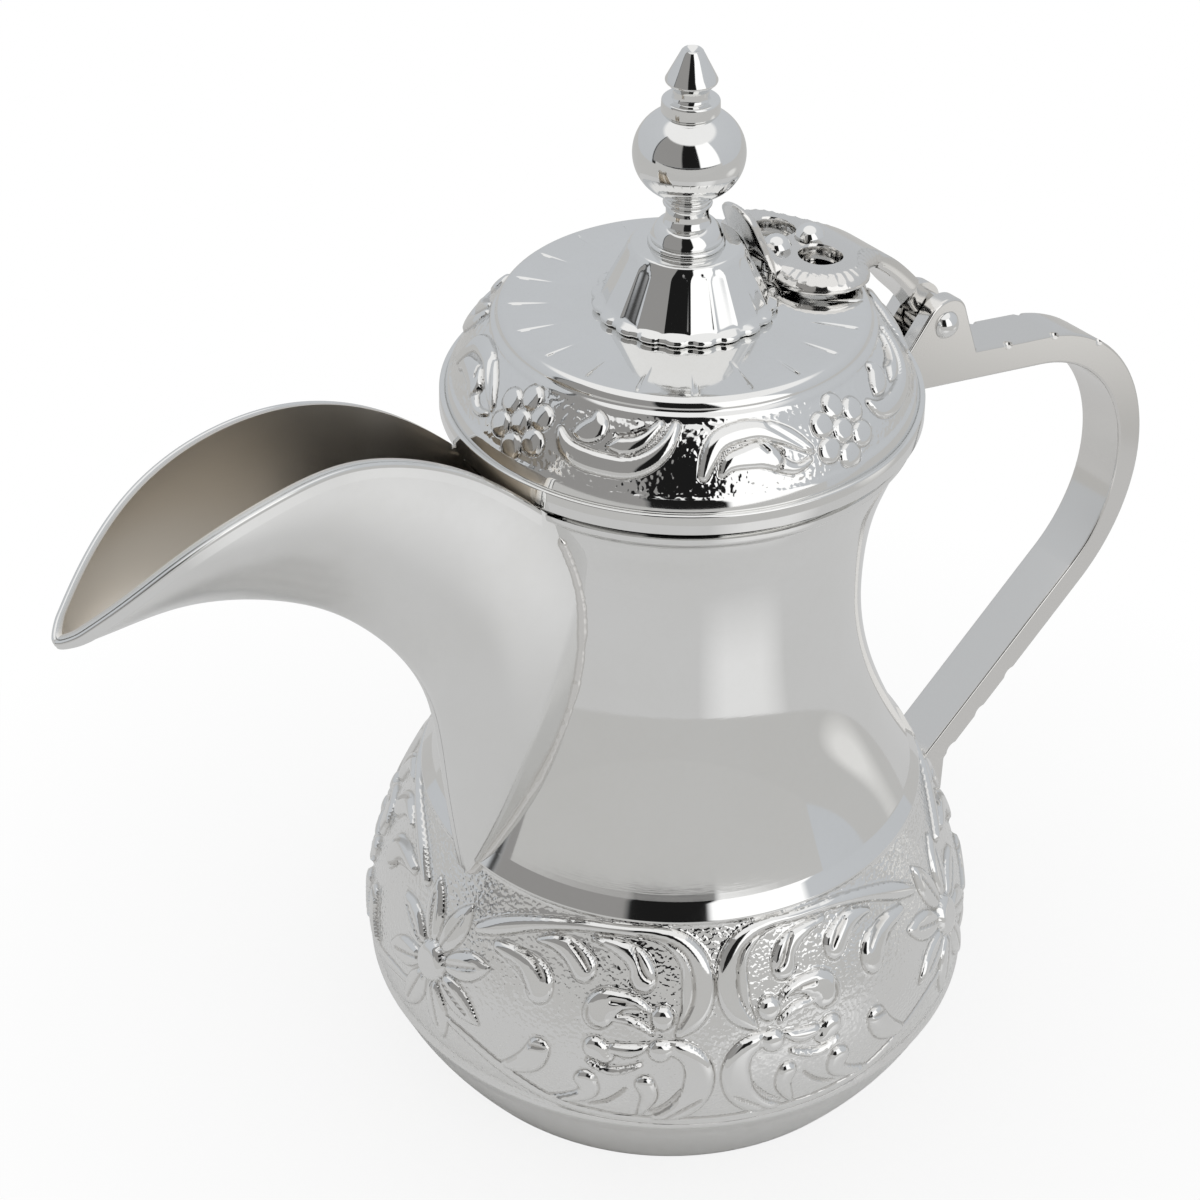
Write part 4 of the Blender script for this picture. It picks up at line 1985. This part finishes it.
@dataclass
class Studio:
    """White table in a pale tent with boards at its open front, as the polished metal shows them."""

    camera_place: Triple = (-318.7, -374.7, 472.3)
    bearing: float = -40.38
    pan: float = 1.96
    pitch: float = 35.89
    roll: float = 0.68
    lens: float = 81.0
    table_radius: float = 300.0
    table_spot: float = 40.0
    floor_radius: float = 1400.0
    floor_tone: float = 0.545
    side_tone: float = 0.80
    side_place: Triple = (348.0, -224.0, 0.0)
    side_reach: Pair = (50.0, 120.0)
    lip_reach: float = 526.0
    lip_height: float = 172.0
    lip_half: float = 1300.0
    lip_tone: float = 0.555
    wall_tone: Triple = (0.60, 0.62, 0.645)
    wall_foot: float = 0.92
    sway: float = 0.12
    boards: tuple[Board, ...] = (
        Board(-220, 220, 50, 120, (0.95, 0.95, 0.95), 3.0),
        Board(-74, -12, -3, 53, (0.31, 0.305, 0.30)),
        Board(-13, 23, -3, 53, (0.012, 0.012, 0.012)),
        Board(23, 64, -3, 53, (1.2, 1.2, 1.2)),
        Board(-77, -74, -8, 53, (0.06, 0.06, 0.06), 1.0),
        Board(-77, 66, -12, -3, (0.03, 0.03, 0.03), 1.0),
    )

    def ahead(self, turn: float = 0.0) -> Vector:
        """Level direction from the pot, turned from the camera's bearing to the right of the view."""
        angle = math.radians(self.bearing + turn) - math.pi / 2
        return Vector((math.cos(angle), math.sin(angle), 0.0))

    def world(self) -> None:
        """White for the camera, and the tent and boards for everything else."""
        world = bpy.data.worlds.new("studio")
        bpy.context.scene.world = world
        sheet = Sheet.fresh(world)
        look = sheet.add("ShaderNodeTexCoord").outputs["Generated"]
        forward, aside = (
            sheet.vector("DOT_PRODUCT", look, self.ahead(turn)).outputs["Value"] for turn in (0.0, 90.0))
        upward = sheet.add("ShaderNodeSeparateXYZ", i0=look).outputs[2]
        rise = sheet.math("DEGREES", sheet.math("ARCSINE", upward))
        round_about = sheet.math("DEGREES", sheet.math("ARCTAN2", aside, forward))
        turn = sheet.math("MULTIPLY_ADD", rise, self.sway, round_about)
        darker = (*(self.wall_foot * part for part in self.wall_tone), 1)
        tone = sheet.blend(sheet.span(rise, -20.0, 50.0, 0.0, 1.0), darker, (*self.wall_tone, 1))
        for board in self.boards:
            mask = self.inside(sheet, turn, board.left, board.right, board.soft)
            mask = sheet.math("MULTIPLY", mask, self.inside(sheet, rise, board.low, board.high, board.soft))
            tone = sheet.blend(mask, tone, (*board.tone, 1))
        seen = sheet.add("ShaderNodeLightPath").outputs["Is Camera Ray"]
        shown = sheet.blend(seen, tone, (1, 1, 1, 1))
        light = sheet.add("ShaderNodeBackground", Color=shown, Strength=1.0)
        sheet.add("ShaderNodeOutputWorld", Surface=light.outputs[0])

    @staticmethod
    def inside(sheet: Sheet, value: Socket, low: float, high: float,
               soft: float) -> Socket:
        """Mask that is 1 between two angles, with soft edges.

        Args:
            sheet: Sheet of the world.
            value: The angle.
            low: Where the mask starts.
            high: Where it ends.
            soft: Half the width of its edges.

        Returns:
            The mask.
        """
        rising = sheet.span(value, low - soft, low + soft, 0.0, 1.0)
        falling = sheet.span(value, high - soft, high + soft, 1.0, 0.0)
        return sheet.math("MULTIPLY", rising, falling)

    def table(self) -> None:
        """Round white table that keeps the pot's shadow and fades into the white round it."""
        Bench.lay_down()
        bpy.ops.mesh.primitive_circle_add(vertices=128, radius=self.table_radius * MM, fill_type="TRIFAN")
        table = Bench.started("table")
        table.data.transform(Matrix.Translation((0, 0, -0.0002)))
        made = bpy.data.materials.new("table_white")
        sheet = Sheet.fresh(made)
        place = sheet.place()
        far = sheet.vector("LENGTH", place).outputs["Value"]
        way = sheet.vector("NORMALIZE", place).outputs[0]
        facing = sheet.vector("DOT_PRODUCT", way, self.ahead(self.table_spot)).outputs["Value"]
        beyond = sheet.span(far, 0.12, 0.2, 0.0, 1.0)
        spot = sheet.math("MULTIPLY", sheet.span(facing, 0.90, 0.985, 0.0, 1.0), beyond)
        paths = sheet.add("ShaderNodeLightPath").outputs
        grain = sheet.add("ShaderNodeTexNoise", Vector=place, Scale=300.0).outputs["Fac"]
        dusty, clean = (0.93, 0.925, 0.91, 1), (0.95, 0.945, 0.935, 1)
        pale = sheet.blend(sheet.span(grain, 0.3, 0.7, 0.0, 1.0), dusty, clean)
        matt = sheet.add("ShaderNodeBsdfDiffuse", Color=pale)
        dimmer = sheet.math("MULTIPLY", paths["Is Glossy Ray"], sheet.span(spot, 0.0, 1.0, -0.40, -0.16))
        glow = sheet.add("ShaderNodeEmission", Color=(1, 1, 1, 1), Strength=sheet.math("ADD", 1.0, dimmer))
        fade = sheet.span(far, 0.08, 0.22, 0.85, 1.0)
        mirrored = sheet.math("MULTIPLY", paths["Is Glossy Ray"], sheet.span(far, 0.07, 0.13, 0.0, 0.9))
        share = sheet.math("ADD", sheet.math("MULTIPLY", paths["Is Camera Ray"], fade), mirrored)
        both = sheet.add("ShaderNodeMixShader", i0=share, i1=matt.outputs[0], i2=glow.outputs[0])
        sheet.add("ShaderNodeOutputMaterial", Surface=both.outputs[0])
        table.data.materials.append(made)

    def surround(self, name: str, size: Sequence[float], place: Sequence[float],
                 tilt: float, tone: float) -> None:
        """Pale sheet that only the metal sees.

        Args:
            name: Its name.
            size: Its width and depth.
            place: Its middle.
            tilt: How far it is tipped up towards the pot, in degrees.
            tone: How bright it shows away from the lighter spot beside the handle.
        """
        Bench.lay_down()
        bpy.ops.mesh.primitive_plane_add(size=MM)
        sheet_piece = Bench.started(name)
        turn, tip = (Matrix.Rotation(math.radians(angle), 4, axis)
                     for angle, axis in ((self.bearing, "Z"), (tilt, "X")))
        middle = Matrix.Translation(Vector(place) * MM)
        sheet_piece.data.transform(middle @ (turn @ tip) @ Matrix.Diagonal((*size, 1, 1)))
        made = bpy.data.materials.new(name)
        sheet = Sheet.fresh(made)
        far = sheet.vector("DISTANCE", sheet.place(), Vector(self.side_place) * MM).outputs["Value"]
        near, end = (reach * MM for reach in self.side_reach)
        strength = sheet.span(far, near, end, self.side_tone, tone)
        glow = sheet.add("ShaderNodeEmission", Color=(1.0, 0.995, 0.98, 1), Strength=strength)
        sheet.add("ShaderNodeOutputMaterial", Surface=glow.outputs[0])
        sheet_piece.data.materials.append(made)
        sheet_piece.visible_camera = False

    def camera(self) -> None:
        """Camera at the photograph's place and angle."""
        data = bpy.data.cameras.new("view")
        data.lens = self.lens
        data.sensor_width = 36.0
        eye = bpy.data.objects.new("view", data)
        bpy.context.scene.collection.objects.link(eye)
        yaw, pitch, roll = (
            math.radians(value) for value in (self.bearing + self.pan, self.pitch, self.roll))
        flat = math.cos(pitch)
        ahead = Vector((-math.sin(yaw) * flat, math.cos(yaw) * flat, -math.sin(pitch)))
        level = ahead.cross(Vector((0, 0, 1))).normalized()
        over = level.cross(ahead)
        right = level * math.cos(roll) + over * math.sin(roll)
        up = over * math.cos(roll) - level * math.sin(roll)
        turn = Matrix((right, up, -ahead)).transposed().to_4x4()
        eye.matrix_world = Matrix.Translation(Vector(self.camera_place) * MM) @ turn
        bpy.context.scene.camera = eye

    def build(self) -> None:
        """Set out the table, the light and the camera."""
        self.camera()
        self.world()
        self.table()
        wide = 2 * self.floor_radius
        self.surround("tent_floor", (wide, wide), (0, 0, -0.6), 0.0, self.floor_tone)
        lip = self.ahead() * self.lip_reach
        middle = (lip.x, lip.y, self.lip_height / 2)
        self.surround("tent_lip", (2 * self.lip_half, self.lip_height), middle, 90.0, self.lip_tone)
        bpy.context.scene.view_settings.view_transform = "Standard"


def main() -> None:
    """Build the sub-assemblies in order."""
    logging.basicConfig(level=logging.INFO, format="%(message)s")
    Studio().build()
    pot = PotBody()
    assemblies: list[Callable[[], None]] = [
        pot.build, Spout(pot).build, Handle(pot).build, Lid().build, HingeStrap().build, Finial().build,
        InnerFixings().build]
    for build in assemblies:
        build()
    Bench.lay_down()


if __name__ == "__main__":
    main()
